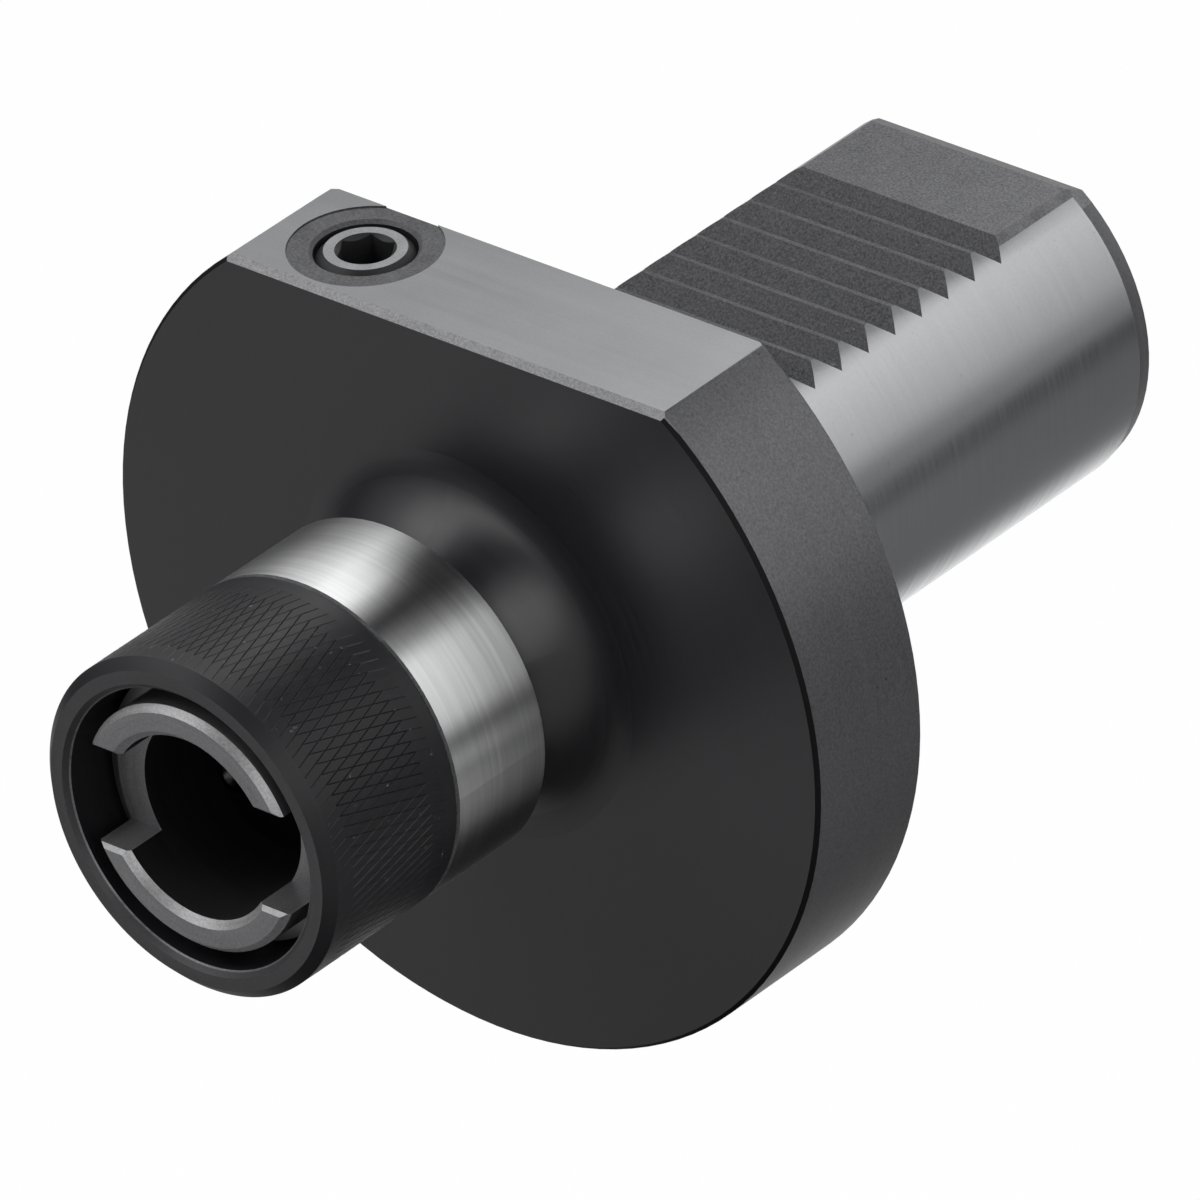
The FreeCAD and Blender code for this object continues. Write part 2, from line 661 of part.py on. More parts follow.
def make_sleeve_retaining_ring():
    """Snap ring in the tube's groove, open at the bottom."""
    snap = ring(RETAINER_GROOVE_R, RETAINER_OUT_R, RETAINER_FRONT_Y, SEAT_WASHER_FRONT_Y)
    half = math.radians(RETAINER_OPENING / 2)
    reach = RETAINER_OUT_R + CUT_MARGIN
    corners = [
        Vector(0, RETAINER_FRONT_Y - CUT_MARGIN, 0),
        Vector(-reach * math.tan(half), RETAINER_FRONT_Y - CUT_MARGIN, -reach),
        Vector(reach * math.tan(half), RETAINER_FRONT_Y - CUT_MARGIN, -reach),
    ]
    wedge = Part.Face(Part.makePolygon(corners + [corners[0]]))
    return snap.cut(wedge.extrude(Vector(0, RETAINER_THICK + 2 * CUT_MARGIN, 0)))


def make_spring_seat_washer():
    return ring(COLLAR_R, SEAT_WASHER_OUT_R, SEAT_WASHER_FRONT_Y, SLEEVE_SPRING_FRONT_Y)


def make_sleeve_spring():
    mean_r = (COLLAR_R + SLEEVE_BORE_R) / 2
    return coil(
        mean_r,
        SLEEVE_SPRING_WIRE,
        SLEEVE_SPRING_FRONT_Y,
        COLLAR_FRONT_Y - SEAT_GAP,
        SLEEVE_SPRING_PITCH,
    )


def make_tension_spring():
    return coil(
        TENSION_MEAN_R, TENSION_WIRE, DRIVE_BUSH_REAR_Y, SPRING_COLLAR_Y - SEAT_GAP, TENSION_PITCH
    )


def make_compression_spring():
    return coil(
        COMPRESSION_MEAN_R,
        COMPRESSION_WIRE,
        COLLAR_END_Y + SEAT_GAP,
        END_PLUG_FRONT_Y,
        COMPRESSION_PITCH,
    )


# Release sleeve and balls


def make_release_sleeve():
    """Knurled sleeve with a guide collar, a ball ramp and a skirt that slides in the head."""
    ramp_end_r = RAMP_R_AT_BALL + RAMP_SLOPE * (RAMP_END_Y - BALL_Y)
    return turned(
        [
            (SLEEVE_BORE_R + SLEEVE_LIP_LEAD, SLEEVE_FRONT_Y),
            (HEAD_R - SLEEVE_BEVEL_WIDTH, SLEEVE_FRONT_Y),
            (HEAD_R, SLEEVE_FRONT_Y + SLEEVE_BEVEL_LEN),
            (HEAD_R, SLEEVE_REAR_Y - SLEEVE_REAR_EDGE),
            (HEAD_R - SLEEVE_REAR_EDGE, SLEEVE_REAR_Y),
            (SKIRT_R, SLEEVE_REAR_Y),
            (SKIRT_R, SKIRT_REAR_Y),
            (ramp_end_r, SKIRT_REAR_Y),
            (ramp_end_r, RAMP_END_Y),
            (COLLAR_R, COLLAR_REAR_Y),
            (COLLAR_R, COLLAR_FRONT_Y),
            (SLEEVE_BORE_R, COLLAR_FRONT_Y),
            (SLEEVE_BORE_R, SLEEVE_FRONT_Y + SLEEVE_LIP_LEAD),
        ]
    )


def make_locking_ball(angle):
    return spin(Part.makeSphere(BALL_R, Vector(BALL_SEAT_R, BALL_Y, 0)), angle)


def parts():
    """Every node's name and shape."""
    made = {
        "holder_body": make_holder_body(),
        "flange_plug_screw": make_flange_plug_screw(),
        "shank_seal_ring": make_shank_seal_ring(),
        "front_wiper_ring": make_front_wiper_ring(),
        "front_guide_bush": make_front_guide_bush(),
        "drive_bush": make_drive_bush(),
        "bush_dowel": make_bush_dowel(),
        "plug_seal_ring": make_plug_seal_ring(),
        "shank_end_plug": make_shank_end_plug(),
        "tension_spring": make_tension_spring(),
        "compression_spring": make_compression_spring(),
        "spindle": make_spindle(),
        "drive_key_right": drive_key(1),
        "drive_key_left": drive_key(-1),
        "spring_collar": make_spring_collar(),
        "tail_washer": make_tail_washer(),
        "tail_screw": make_tail_screw(),
        "sleeve_retaining_ring": make_sleeve_retaining_ring(),
        "spring_seat_washer": make_spring_seat_washer(),
        "sleeve_spring": make_sleeve_spring(),
        "release_sleeve": make_release_sleeve(),
    }
    for number, angle in enumerate(ball_angles(), start=1):
        made[f"locking_ball_{number}"] = make_locking_ball(angle)
    return made


os.makedirs("parts", exist_ok=True)
for name, shape in parts().items():
    shape.exportStep(f"parts/{name}.step")
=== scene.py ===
"""Looks of a floating tapping chuck: its finishes, its knurled sleeve and a small photo studio."""

import logging
import math
from dataclasses import dataclass, field
from enum import Enum
from typing import Callable

import bmesh
import bpy
from mathutils import Matrix, Vector

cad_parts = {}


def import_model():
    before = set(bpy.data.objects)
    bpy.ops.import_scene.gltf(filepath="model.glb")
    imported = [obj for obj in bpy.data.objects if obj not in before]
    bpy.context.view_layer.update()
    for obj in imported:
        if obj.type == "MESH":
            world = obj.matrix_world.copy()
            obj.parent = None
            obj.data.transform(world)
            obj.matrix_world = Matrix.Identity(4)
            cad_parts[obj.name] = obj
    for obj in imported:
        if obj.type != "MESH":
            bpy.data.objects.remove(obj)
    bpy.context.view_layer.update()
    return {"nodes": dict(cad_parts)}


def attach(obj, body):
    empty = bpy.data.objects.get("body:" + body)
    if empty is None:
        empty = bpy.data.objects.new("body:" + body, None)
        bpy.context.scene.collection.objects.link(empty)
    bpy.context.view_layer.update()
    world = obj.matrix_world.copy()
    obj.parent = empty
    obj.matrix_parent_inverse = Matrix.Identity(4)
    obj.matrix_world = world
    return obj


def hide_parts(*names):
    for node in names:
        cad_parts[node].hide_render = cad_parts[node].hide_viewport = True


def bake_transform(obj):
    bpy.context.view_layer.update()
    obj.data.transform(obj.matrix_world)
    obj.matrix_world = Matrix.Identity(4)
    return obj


LOG = logging.getLogger("tapping_chuck")
MM = 0.001
Socket = bpy.types.NodeSocket
Pick = Callable[[Vector, Vector], str]
NUMBER_SOCKET = "NodeSocketFloat"
QUARTER_TURN = 0.25

# Limits for sorting faces: two distances in millimetres, then parts of a normal
NEAR = 0.01
CLOSE = 0.05
LEVEL = 0.99
SQUARE = 0.95
FACING = 0.9
OUTWARD = 0.8
LEANING = 0.5
SLANTED = 0.3

# How the shared effects are scaled in every finish
SPARSE_SHARE = 0.35
STROKE_SHARE = 0.02
RING_DRIFT = 1.2
STAIN_SCALE = 90.0
FINE_STAIN_SCALE = 400.0


class Direction(Enum):
    """How the machining marks of a finish run."""

    FACED = "rings on a faced surface"
    TURNED = "rings round a turned surface"
    STRAIGHT = "straight strokes across a flat"
    NONE = "no direction"


# Node helpers


class NodeBench:
    """Adds and joins nodes in one tree."""

    def __init__(self, tree: bpy.types.NodeTree) -> None:
        """Keeps the tree.

        Args:
            tree: The tree that the nodes go into.
        """
        self.tree = tree

    def add(self, kind: str, **settings: object) -> bpy.types.Node:
        """Adds a node.

        Args:
            kind: The node's type name without its ShaderNode prefix.
            settings: Properties to set on it.

        Returns:
            The new node.
        """
        node = self.tree.nodes.new(f"ShaderNode{kind}")
        for key, value in settings.items():
            setattr(node, key, value)
        return node

    def feed(self, socket: Socket, value: object) -> None:
        """Links a socket to another one, or sets its number, colour or vector."""
        if isinstance(value, Socket):
            self.tree.links.new(value, socket)
        else:
            socket.default_value = value

    def math(self, operation: str, *values: object, clamp: bool = False) -> Socket:
        """Adds a Math node.

        Args:
            operation: Its operation.
            values: Its inputs.
            clamp: Whether its result is held between 0 and 1.

        Returns:
            Its output.
        """
        node = self.add("Math", operation=operation, use_clamp=clamp)
        for socket, value in zip(node.inputs, values):
            self.feed(socket, value)
        return node.outputs[0]

    def blend(self, factor: object, low: object, high: object) -> Socket:
        """Adds a colour mix.

        Args:
            factor: 0 for the first colour, 1 for the second.
            low: The first colour.
            high: The second colour.

        Returns:
            The mixed colour.
        """
        node = self.add("Mix", data_type="RGBA")
        self.feed(node.inputs[0], factor)
        self.feed(node.inputs[6], low)
        self.feed(node.inputs[7], high)
        return node.outputs[2]

    def span(self, value: object, low: float, high: float) -> Socket:
        """Maps a value smoothly from a range to 0 to 1.

        Args:
            value: The value.
            low: Where the range starts.
            high: Where the range ends.

        Returns:
            The mapped value.
        """
        node = self.add("MapRange", interpolation_type="SMOOTHSTEP")
        for socket, item in zip(node.inputs, (value, low, high)):
            self.feed(socket, item)
        return node.outputs[0]

    def noise(self, vector: object, scale: float, detail: float, roughness: float = 0.5) -> Socket:
        """Adds a noise texture.

        Args:
            vector: Where it is read.
            scale: Its scale.
            detail: Its octaves.
            roughness: How strong the fine octaves are.

        Returns:
            The noise value.
        """
        node = self.add("TexNoise")
        self.feed(node.inputs["Vector"], vector)
        for name, item in (("Scale", scale), ("Detail", detail), ("Roughness", roughness)):
            self.feed(node.inputs[name], item)
        return node.outputs["Fac"]

    def mix(self, factor: object, low: Socket, high: Socket) -> Socket:
        """Adds a shader mix, in which factor 0 gives the first shader and 1 the second."""
        node = self.add("MixShader")
        for socket, item in zip(node.inputs, (factor, low, high)):
            self.feed(socket, item)
        return node.outputs[0]

    def place(self) -> Socket:
        """Gives the place on the object."""
        return self.add("TexCoord").outputs["Object"]

    def split(self, vector: Socket) -> tuple[Socket, ...]:
        """Splits a vector into its X, Y and Z."""
        node = self.add("SeparateXYZ")
        self.feed(node.inputs[0], vector)
        return tuple(node.outputs)

    def stretch(self, place: tuple[Socket, ...], along: object, across: object) -> Socket:
        """Scales a place across the marks, its second value, and along them, the other two."""
        node = self.add("CombineXYZ")
        for socket, value, factor in zip(node.inputs, place, (along, across, along)):
            self.feed(socket, self.math("MULTIPLY", value, factor))
        return node.outputs[0]

    def swing(self, value: Socket, amount: float) -> Socket:
        """Centres a value between 0 and 1 on zero, and scales it."""
        return self.math("MULTIPLY", self.math("SUBTRACT", value, 0.5), amount)

    def seen(self) -> Socket:
        """Gives 1 to rays from the camera, from reflections and through glass, and 0 to others."""
        path = self.add("LightPath").outputs
        direct = self.math("MAXIMUM", path["Is Camera Ray"], path["Is Glossy Ray"])
        return self.math("MAXIMUM", direct, path["Is Transmission Ray"])

    def deliver(self, **values: Socket) -> bpy.types.NodeTree:
        """Feeds the group's outputs by name, and gives the group back."""
        target = self.tree.nodes.new("NodeGroupOutput")
        for name, value in values.items():
            self.feed(target.inputs[name], value)
        return self.tree


def new_group(
    name: str, inputs: dict[str, float], outputs: list[str]
) -> tuple[NodeBench, bpy.types.NodeOutputs]:
    """Starts a node group with number sockets.

    Args:
        name: The group's name.
        inputs: Its inputs and their defaults.
        outputs: Its outputs.

    Returns:
        A bench for the group, and its inputs to read from.
    """
    group = bpy.data.node_groups.new(name, "ShaderNodeTree")
    for key, value in inputs.items():
        socket = group.interface.new_socket(key, in_out="INPUT", socket_type=NUMBER_SOCKET)
        socket.default_value = value
    for key in outputs:
        group.interface.new_socket(key, in_out="OUTPUT", socket_type=NUMBER_SOCKET)
    return NodeBench(group), group.nodes.new("NodeGroupInput").outputs


# Shared effects


@dataclass
class Effects:
    """Node groups that several finishes share."""

    broad_drift: float = 0.9
    broad_share: float = 0.4
    groups: dict[str, bpy.types.NodeTree] = field(default_factory=dict)

    def build(self) -> None:
        """Makes every group once."""
        self.groups["rings"] = self._rings()
        self.groups["strokes"] = self._strokes()
        self.groups["speckle"] = self._speckle()
        self.groups["clouds"] = self._clouds()

    @staticmethod
    def _cylinder_place(bench: NodeBench) -> tuple[Socket, ...]:
        """Works out where a point is round the chuck's axis.

        Args:
            bench: The bench to use.

        Returns:
            Radius, place along the axis, and the direction's X and Z.
        """
        x, y, z = bench.split(bench.place())
        squares = bench.math("ADD", bench.math("MULTIPLY", x, x), bench.math("MULTIPLY", z, z))
        radius = bench.math("SQRT", squares)
        return radius, y, bench.math("DIVIDE", x, radius), bench.math("DIVIDE", z, radius)

    def _rings(self) -> bpy.types.NodeTree:
        """Makes fine tool marks that run round the axis.

        Returns:
            The group, with the height of the marks and a broad streak value.
        """
        inputs = {"Faced": 0.0, "Pitch": 4000.0, "Drift": 1.0}
        bench, source = new_group("tool rings", inputs, ["Height", "Streak"])
        radius, along, east, up = self._cylinder_place(bench)
        across = bench.add("Mix", data_type="FLOAT")
        bench.feed(across.inputs[0], source["Faced"])
        bench.feed(across.inputs[2], along)
        bench.feed(across.inputs[3], radius)
        place = (east, across.outputs[0], up)
        fine = bench.stretch(place, source["Drift"], source["Pitch"])
        broad_pitch = bench.math("MULTIPLY", source["Pitch"], self.broad_share)
        broad = bench.stretch(place, self.broad_drift, broad_pitch)
        height = bench.noise(fine, 1.0, 2.0, 0.6)
        return bench.deliver(Height=height, Streak=bench.noise(broad, 1.0, 3.0, 0.6))

    @staticmethod
    def _strokes() -> bpy.types.NodeTree:
        """Makes straight grinding strokes that run along X.

        Returns:
            The group, with the height of the strokes and a broad streak value.
        """
        inputs = {"Pitch": 4000.0, "Length": 40.0}
        bench, source = new_group("grinding strokes", inputs, ["Height", "Streak"])
        fine = bench.stretch(bench.split(bench.place()), source["Length"], source["Pitch"])
        height = bench.noise(fine, 1.0, 3.0, 0.6)
        return bench.deliver(Height=height, Streak=bench.noise(fine, 0.2, 3.0, 0.6))

    @staticmethod
    def _speckle() -> bpy.types.NodeTree:
        """Makes the grain of a blasted or blackened surface.

        Returns:
            The group, with the grain and sparse bright specks, which the knurl uses as painted glints.
        """
        inputs = {"Scale": 4000.0, "Sparse": 1500.0}
        bench, source = new_group("grain and specks", inputs, ["Grain", "Bright"])
        place = bench.place()
        grain = bench.noise(place, source["Scale"], 3.0, 0.65)
        sparse = bench.noise(place, source["Sparse"], 2.0, 0.6)
        return bench.deliver(Grain=grain, Bright=bench.span(sparse, 0.68, 0.8))

    @staticmethod
    def _clouds() -> bpy.types.NodeTree:
        """Makes broad, faint stains and handling marks.

        Returns:
            The group, with one value.
        """
        bench, source = new_group("stains", {"Scale": STAIN_SCALE}, ["Stain"])
        return bench.deliver(Stain=bench.noise(bench.place(), source["Scale"], 4.0, 0.6))


# Finishes


@dataclass(frozen=True)
class Finish:
    """One surface finish: its colours, gloss, machining marks, grain, and specks that are grain in most
    finishes and painted glints in the knurl.
    """

    name: str
    dark: tuple[float, float, float]
    light: tuple[float, float, float]
    roughness: float
    metallic: float = 1.0
    specular: float = 0.5
    direction: Direction = Direction.NONE
    pitch: float = 4000.0
    mark_depth: float = 0.0
    grain_scale: float = 4000.0
    grain_depth: float = 0.0
    grain_tint: float = 0.0
    specks: float = 0.0
    speck_color: tuple[float, float, float] = (0.45, 0.45, 0.46)
    streak_tint: float = 0.5
    roughness_spread: float = 0.06
    anisotropy: float = 0.0
    stain: float = 0.15

    def build(self, effects: Effects) -> bpy.types.Material:
        """Makes the material.

        Args:
            effects: The shared node groups.

        Returns:
            The material.
        """
        material = bpy.data.materials.new(self.name)
        material.use_nodes = True
        bench = NodeBench(material.node_tree)
        shader = material.node_tree.nodes["Principled BSDF"]
        shader.inputs["Metallic"].default_value = self.metallic
        shader.inputs["Specular IOR Level"].default_value = self.specular
        shader.inputs["Anisotropic"].default_value = self.anisotropy
        shader.inputs["Anisotropic Rotation"].default_value = QUARTER_TURN
        sparse = self.grain_scale * SPARSE_SHARE
        speckle = self._group(bench, effects, "speckle", Scale=self.grain_scale, Sparse=sparse)
        clouds = self._group(bench, effects, "clouds", Scale=STAIN_SCALE)
        marks, streak = self._marks(bench, effects)
        stain = bench.swing(clouds.outputs[0], self.stain)
        tint = bench.math("ADD", bench.swing(streak, self.streak_tint * 2), stain)
        grain = bench.swing(speckle.outputs["Grain"], self.grain_tint * 2)
        tone = bench.math("ADD", bench.math("ADD", tint, grain), 0.5, clamp=True)
        color = bench.blend(tone, (*self.dark, 1), (*self.light, 1))
        # Specks: grain in most finishes, painted glints in the knurl.
        bright = bench.math("MULTIPLY", speckle.outputs["Bright"], self.specks)
        color = bench.blend(bright, color, (*self.speck_color, 1))
        bench.feed(shader.inputs["Base Color"], color)
        spread = bench.swing(streak, self.roughness_spread * 2)
        bench.feed(shader.inputs["Roughness"], bench.math("ADD", spread, self.roughness, clamp=True))
        normal = self._relief(bench, marks, self.mark_depth, None)
        normal = self._relief(bench, speckle.outputs["Grain"], self.grain_depth, normal)
        if normal is not None:
            bench.feed(shader.inputs["Normal"], normal)
        if self.anisotropy:
            tangent = bench.add("Tangent", direction_type="RADIAL", axis="Y")
            bench.feed(shader.inputs["Tangent"], tangent.outputs[0])
        return material

    def _marks(self, bench: NodeBench, effects: Effects) -> tuple[Socket, Socket]:
        """Adds the machining marks.

        Args:
            bench: The material's bench.
            effects: The shared node groups.

        Returns:
            The marks' height and the broad streak value.
        """
        if self.direction is Direction.STRAIGHT:
            node = self._group(bench, effects, "strokes", Pitch=self.pitch, Length=self.pitch * STROKE_SHARE)
            return node.outputs["Height"], node.outputs["Streak"]
        if self.direction is Direction.NONE:
            node = self._group(bench, effects, "clouds", Scale=FINE_STAIN_SCALE)
            return node.outputs[0], node.outputs[0]
        faced = 1.0 if self.direction is Direction.FACED else 0.0
        node = self._group(bench, effects, "rings", Faced=faced, Pitch=self.pitch, Drift=RING_DRIFT)
        return node.outputs["Height"], node.outputs["Streak"]

    @staticmethod
    def _group(bench: NodeBench, effects: Effects, key: str, **values: float) -> bpy.types.Node:
        """Places a shared group in the material.

        Args:
            bench: The material's bench.
            effects: The shared node groups.
            key: The group's key.
            values: Its inputs.

        Returns:
            The group node.
        """
        node = bench.add("Group")
        node.node_tree = effects.groups[key]
        for name, value in values.items():
            node.inputs[name].default_value = value
        return node

    @staticmethod
    def _relief(
        bench: NodeBench,
        height: Socket,
        depth: float,
        under: Socket | None,
    ) -> Socket | None:
        """Adds a bump.

        Args:
            bench: The material's bench.
            height: The height value.
            depth: Its depth in metres, or 0 for none.
            under: The normal of the bump below it.

        Returns:
            The new normal, or the one below it.
        """
        if not depth:
            return under
        bump = bench.add("Bump")
        bump.inputs["Strength"].default_value = 1.0
        bump.inputs["Distance"].default_value = depth
        bench.feed(bump.inputs["Height"], height)
        if under is not None:
            bench.feed(bump.inputs["Normal"], under)
        return bump.outputs[0]


FINISHES: tuple[Finish, ...] = (
    Finish("black faced steel", (0.0072, 0.0072, 0.0088), (0.0145, 0.0145, 0.0177), 0.35, metallic=0.0,
           specular=0.62, direction=Direction.FACED, pitch=5200.0, mark_depth=8e-7, streak_tint=0.4,
           grain_depth=2e-6, grain_tint=0.5),
    # Painted shade: a darker, duller copy of the black faced steel for the flange's rim bevel.
    Finish("black bevel", (0.002, 0.002, 0.0025), (0.005, 0.005, 0.0056), 0.5, metallic=0.0,
           specular=0.12, direction=Direction.FACED, pitch=5200.0, streak_tint=0.4, grain_tint=0.5),
    Finish("black turned boss", (0.0072, 0.0072, 0.0088), (0.0145, 0.0145, 0.0177), 0.33, metallic=0.0,
           specular=0.75, direction=Direction.TURNED, pitch=5200.0, mark_depth=1.5e-6, streak_tint=0.4),
    Finish("black rim", (0.076, 0.076, 0.08), (0.162, 0.162, 0.17), 0.42, metallic=0.75,
           direction=Direction.TURNED, pitch=2600.0, mark_depth=1.5e-6, grain_scale=3600.0,
           grain_depth=5e-6, grain_tint=0.9, streak_tint=0.15, speck_color=(0.015, 0.015, 0.016),
           specks=0.6, anisotropy=0.5),
    Finish("ground flat", (0.24, 0.243, 0.25), (0.34, 0.344, 0.354), 0.36, direction=Direction.STRAIGHT,
           pitch=4200.0, mark_depth=6e-7, streak_tint=0.25, grain_tint=0.4, grain_depth=1.5e-6,
           stain=0.6),
    Finish("spotface", (0.06, 0.06, 0.064), (0.155, 0.155, 0.161), 0.5, metallic=0.8,
           grain_scale=3800.0, grain_depth=4e-6, grain_tint=1.1),
    # Painted highlight: a lighter copy of the steel for the bevels of the flange's flat and the shank's
    # flat.
    Finish("edge line", (0.14, 0.14, 0.145), (0.3, 0.3, 0.305), 0.42, grain_tint=1.0, grain_depth=4e-6),
    # Painted shade: a darkened copy of the steel for holes, bores, inner faces and chamfers, where shade
    # falls.
    Finish("dark recess", (0.04, 0.04, 0.042), (0.1, 0.1, 0.105), 0.55, metallic=0.3,
           grain_scale=3800.0, grain_depth=8e-6, grain_tint=1.1),
    Finish("ground shank", (0.41, 0.416, 0.428), (0.51, 0.517, 0.53), 0.23, direction=Direction.TURNED,
           pitch=5000.0, streak_tint=0.08, anisotropy=0.9, grain_tint=0.3, stain=0.3,
           speck_color=(0.2, 0.2, 0.2), specks=0.25),
    Finish("blasted teeth", (0.06, 0.06, 0.064), (0.2, 0.2, 0.208), 0.46, metallic=0.8,
           grain_scale=4200.0, grain_depth=6e-6, grain_tint=1.1, streak_tint=0.2, specks=0.2),
    # Painted shade: a darker copy of the blasted teeth for the flanks of the grooves.
    Finish("groove flank", (0.025, 0.025, 0.027), (0.1, 0.1, 0.104), 0.46, metallic=0.8,
           grain_scale=4200.0, grain_depth=6e-6, grain_tint=1.1, streak_tint=0.2, specks=0.2),
    Finish("tooth crest", (0.05, 0.05, 0.053), (0.16, 0.16, 0.166), 0.42, metallic=0.9,
           grain_scale=4200.0, grain_depth=4e-6, grain_tint=1.2, streak_tint=0.2),
    Finish("shank end", (0.1, 0.1, 0.105), (0.2, 0.2, 0.21), 0.5, metallic=0.8,
           direction=Direction.TURNED, pitch=3000.0, mark_depth=1e-6, grain_tint=0.6, grain_depth=4e-6),
    Finish("bright turned head", (0.58, 0.583, 0.586), (0.82, 0.823, 0.826), 0.3,
           direction=Direction.TURNED, pitch=5200.0, mark_depth=4e-7, streak_tint=0.6, anisotropy=0.9,
           roughness_spread=0.04),
    Finish("receptacle face", (0.15, 0.15, 0.155), (0.29, 0.29, 0.297), 0.42, metallic=0.75,
           direction=Direction.FACED, pitch=3600.0, mark_depth=1.5e-6, streak_tint=0.4, grain_tint=0.6,
           grain_depth=2e-6),
    # Painted highlight: lighter copies of the receptacle's steel for its chamfers and the edges of its
    # slots.
    Finish("receptacle edge", (0.26, 0.26, 0.264), (0.48, 0.48, 0.486), 0.42, metallic=0.7,
           direction=Direction.FACED, pitch=3600.0, mark_depth=2e-6, grain_tint=0.9),
    Finish("slot edge", (0.26, 0.26, 0.264), (0.42, 0.42, 0.426), 0.4, metallic=0.9, grain_tint=0.9),
    Finish("receptacle wall", (0.12, 0.12, 0.124), (0.26, 0.26, 0.265), 0.4, metallic=0.7,
           direction=Direction.TURNED, pitch=2600.0, mark_depth=4e-6, streak_tint=0.8, grain_tint=0.3),
    Finish("receptacle bore", (0.01, 0.01, 0.011), (0.028, 0.028, 0.03), 0.45, metallic=0.5,
           direction=Direction.TURNED, pitch=2600.0, mark_depth=3e-6),
    Finish("sleeve black", (0.0062, 0.0062, 0.0073), (0.013, 0.013, 0.0151), 0.4, metallic=0.0,
           specular=0.35, direction=Direction.TURNED, pitch=3600.0, mark_depth=1e-6, grain_depth=3e-6,
           grain_tint=0.5),
    # Its bright specks are painted glints at the diamonds' tips.
    Finish("sleeve knurl", (0.0055, 0.0055, 0.0065), (0.0125, 0.0125, 0.0145), 0.4, metallic=0.0,
           specular=0.32, grain_scale=4200.0, grain_depth=3e-6, grain_tint=0.6, specks=0.35,
           speck_color=(0.35, 0.35, 0.36)),
    Finish("sleeve lip", (0.024, 0.024, 0.0256), (0.048, 0.048, 0.051), 0.42, metallic=0.2,
           direction=Direction.FACED, pitch=3000.0, mark_depth=2e-6, grain_tint=0.6, grain_depth=4e-6,
           streak_tint=0.4),
    Finish("worn edge", (0.01, 0.01, 0.011), (0.2, 0.2, 0.204), 0.4, metallic=0.5, grain_scale=1500.0,
           grain_tint=1.3, specks=0.6, speck_color=(0.6, 0.6, 0.61)),
    # Painted highlight: a lighter colour on the sleeve's inner lip chamfer.
    Finish("lip edge", (0.1, 0.1, 0.104), (0.22, 0.22, 0.226), 0.4, metallic=0.6, grain_tint=0.9),
    Finish("zinc screw", (0.22, 0.223, 0.228), (0.38, 0.385, 0.392), 0.4, grain_tint=0.9,
           grain_depth=2e-6, metallic=0.9),
    # Painted shade: near-black put in the screw's socket and thread and in the end plug's socket, where
    # shade falls.
    Finish("socket black", (0.008, 0.008, 0.009), (0.02, 0.02, 0.021), 0.5, metallic=0.2,
           grain_tint=0.4),
    Finish("spring wire", (0.2, 0.2, 0.205), (0.36, 0.36, 0.365), 0.35, direction=Direction.TURNED,
           pitch=3000.0, mark_depth=2e-6),
    # Painted shade: the polished steel balls get a near-black colour because they sit in shade.
    Finish("polished ball", (0.02, 0.02, 0.0204), (0.04, 0.04, 0.0406), 0.2, grain_tint=0.1),
    Finish("turned bronze", (0.36, 0.22, 0.09), (0.55, 0.37, 0.17), 0.34, direction=Direction.TURNED,
           pitch=2600.0, mark_depth=3e-6),
    Finish("seal rubber", (0.008, 0.008, 0.008), (0.02, 0.02, 0.02), 0.6, metallic=0.0, specular=0.35,
           grain_scale=2500.0, grain_depth=6e-6, grain_tint=0.5),
)


@dataclass
class Wardrobe:
    """All finishes of the chuck, by name."""

    effects: Effects = field(default_factory=Effects)
    made: dict[str, bpy.types.Material] = field(default_factory=dict)

    def build(self) -> None:
        """Makes every finish."""
        self.effects.build()
        for finish in FINISHES:
            self.made[finish.name] = finish.build(self.effects)

    def dress(self, piece: bpy.types.Object, names: tuple[str, ...], pick: Pick) -> None:
        """Gives each face of a piece one of several finishes.

        Args:
            piece: The piece.
            names: The finishes, in slot order.
            pick: Gives the finish for a face's centre in millimetres and its normal.
        """
        piece.data.materials.clear()
        for name in names:
            piece.data.materials.append(self.made[name])
        for face in piece.data.polygons:
            face.material_index = names.index(pick(face.center / MM, face.normal))

    def cover(self, piece: bpy.types.Object, name: str) -> None:
        """Gives a whole piece one finish."""
        self.dress(piece, (name,), lambda centre, normal: name)


# Assemblies


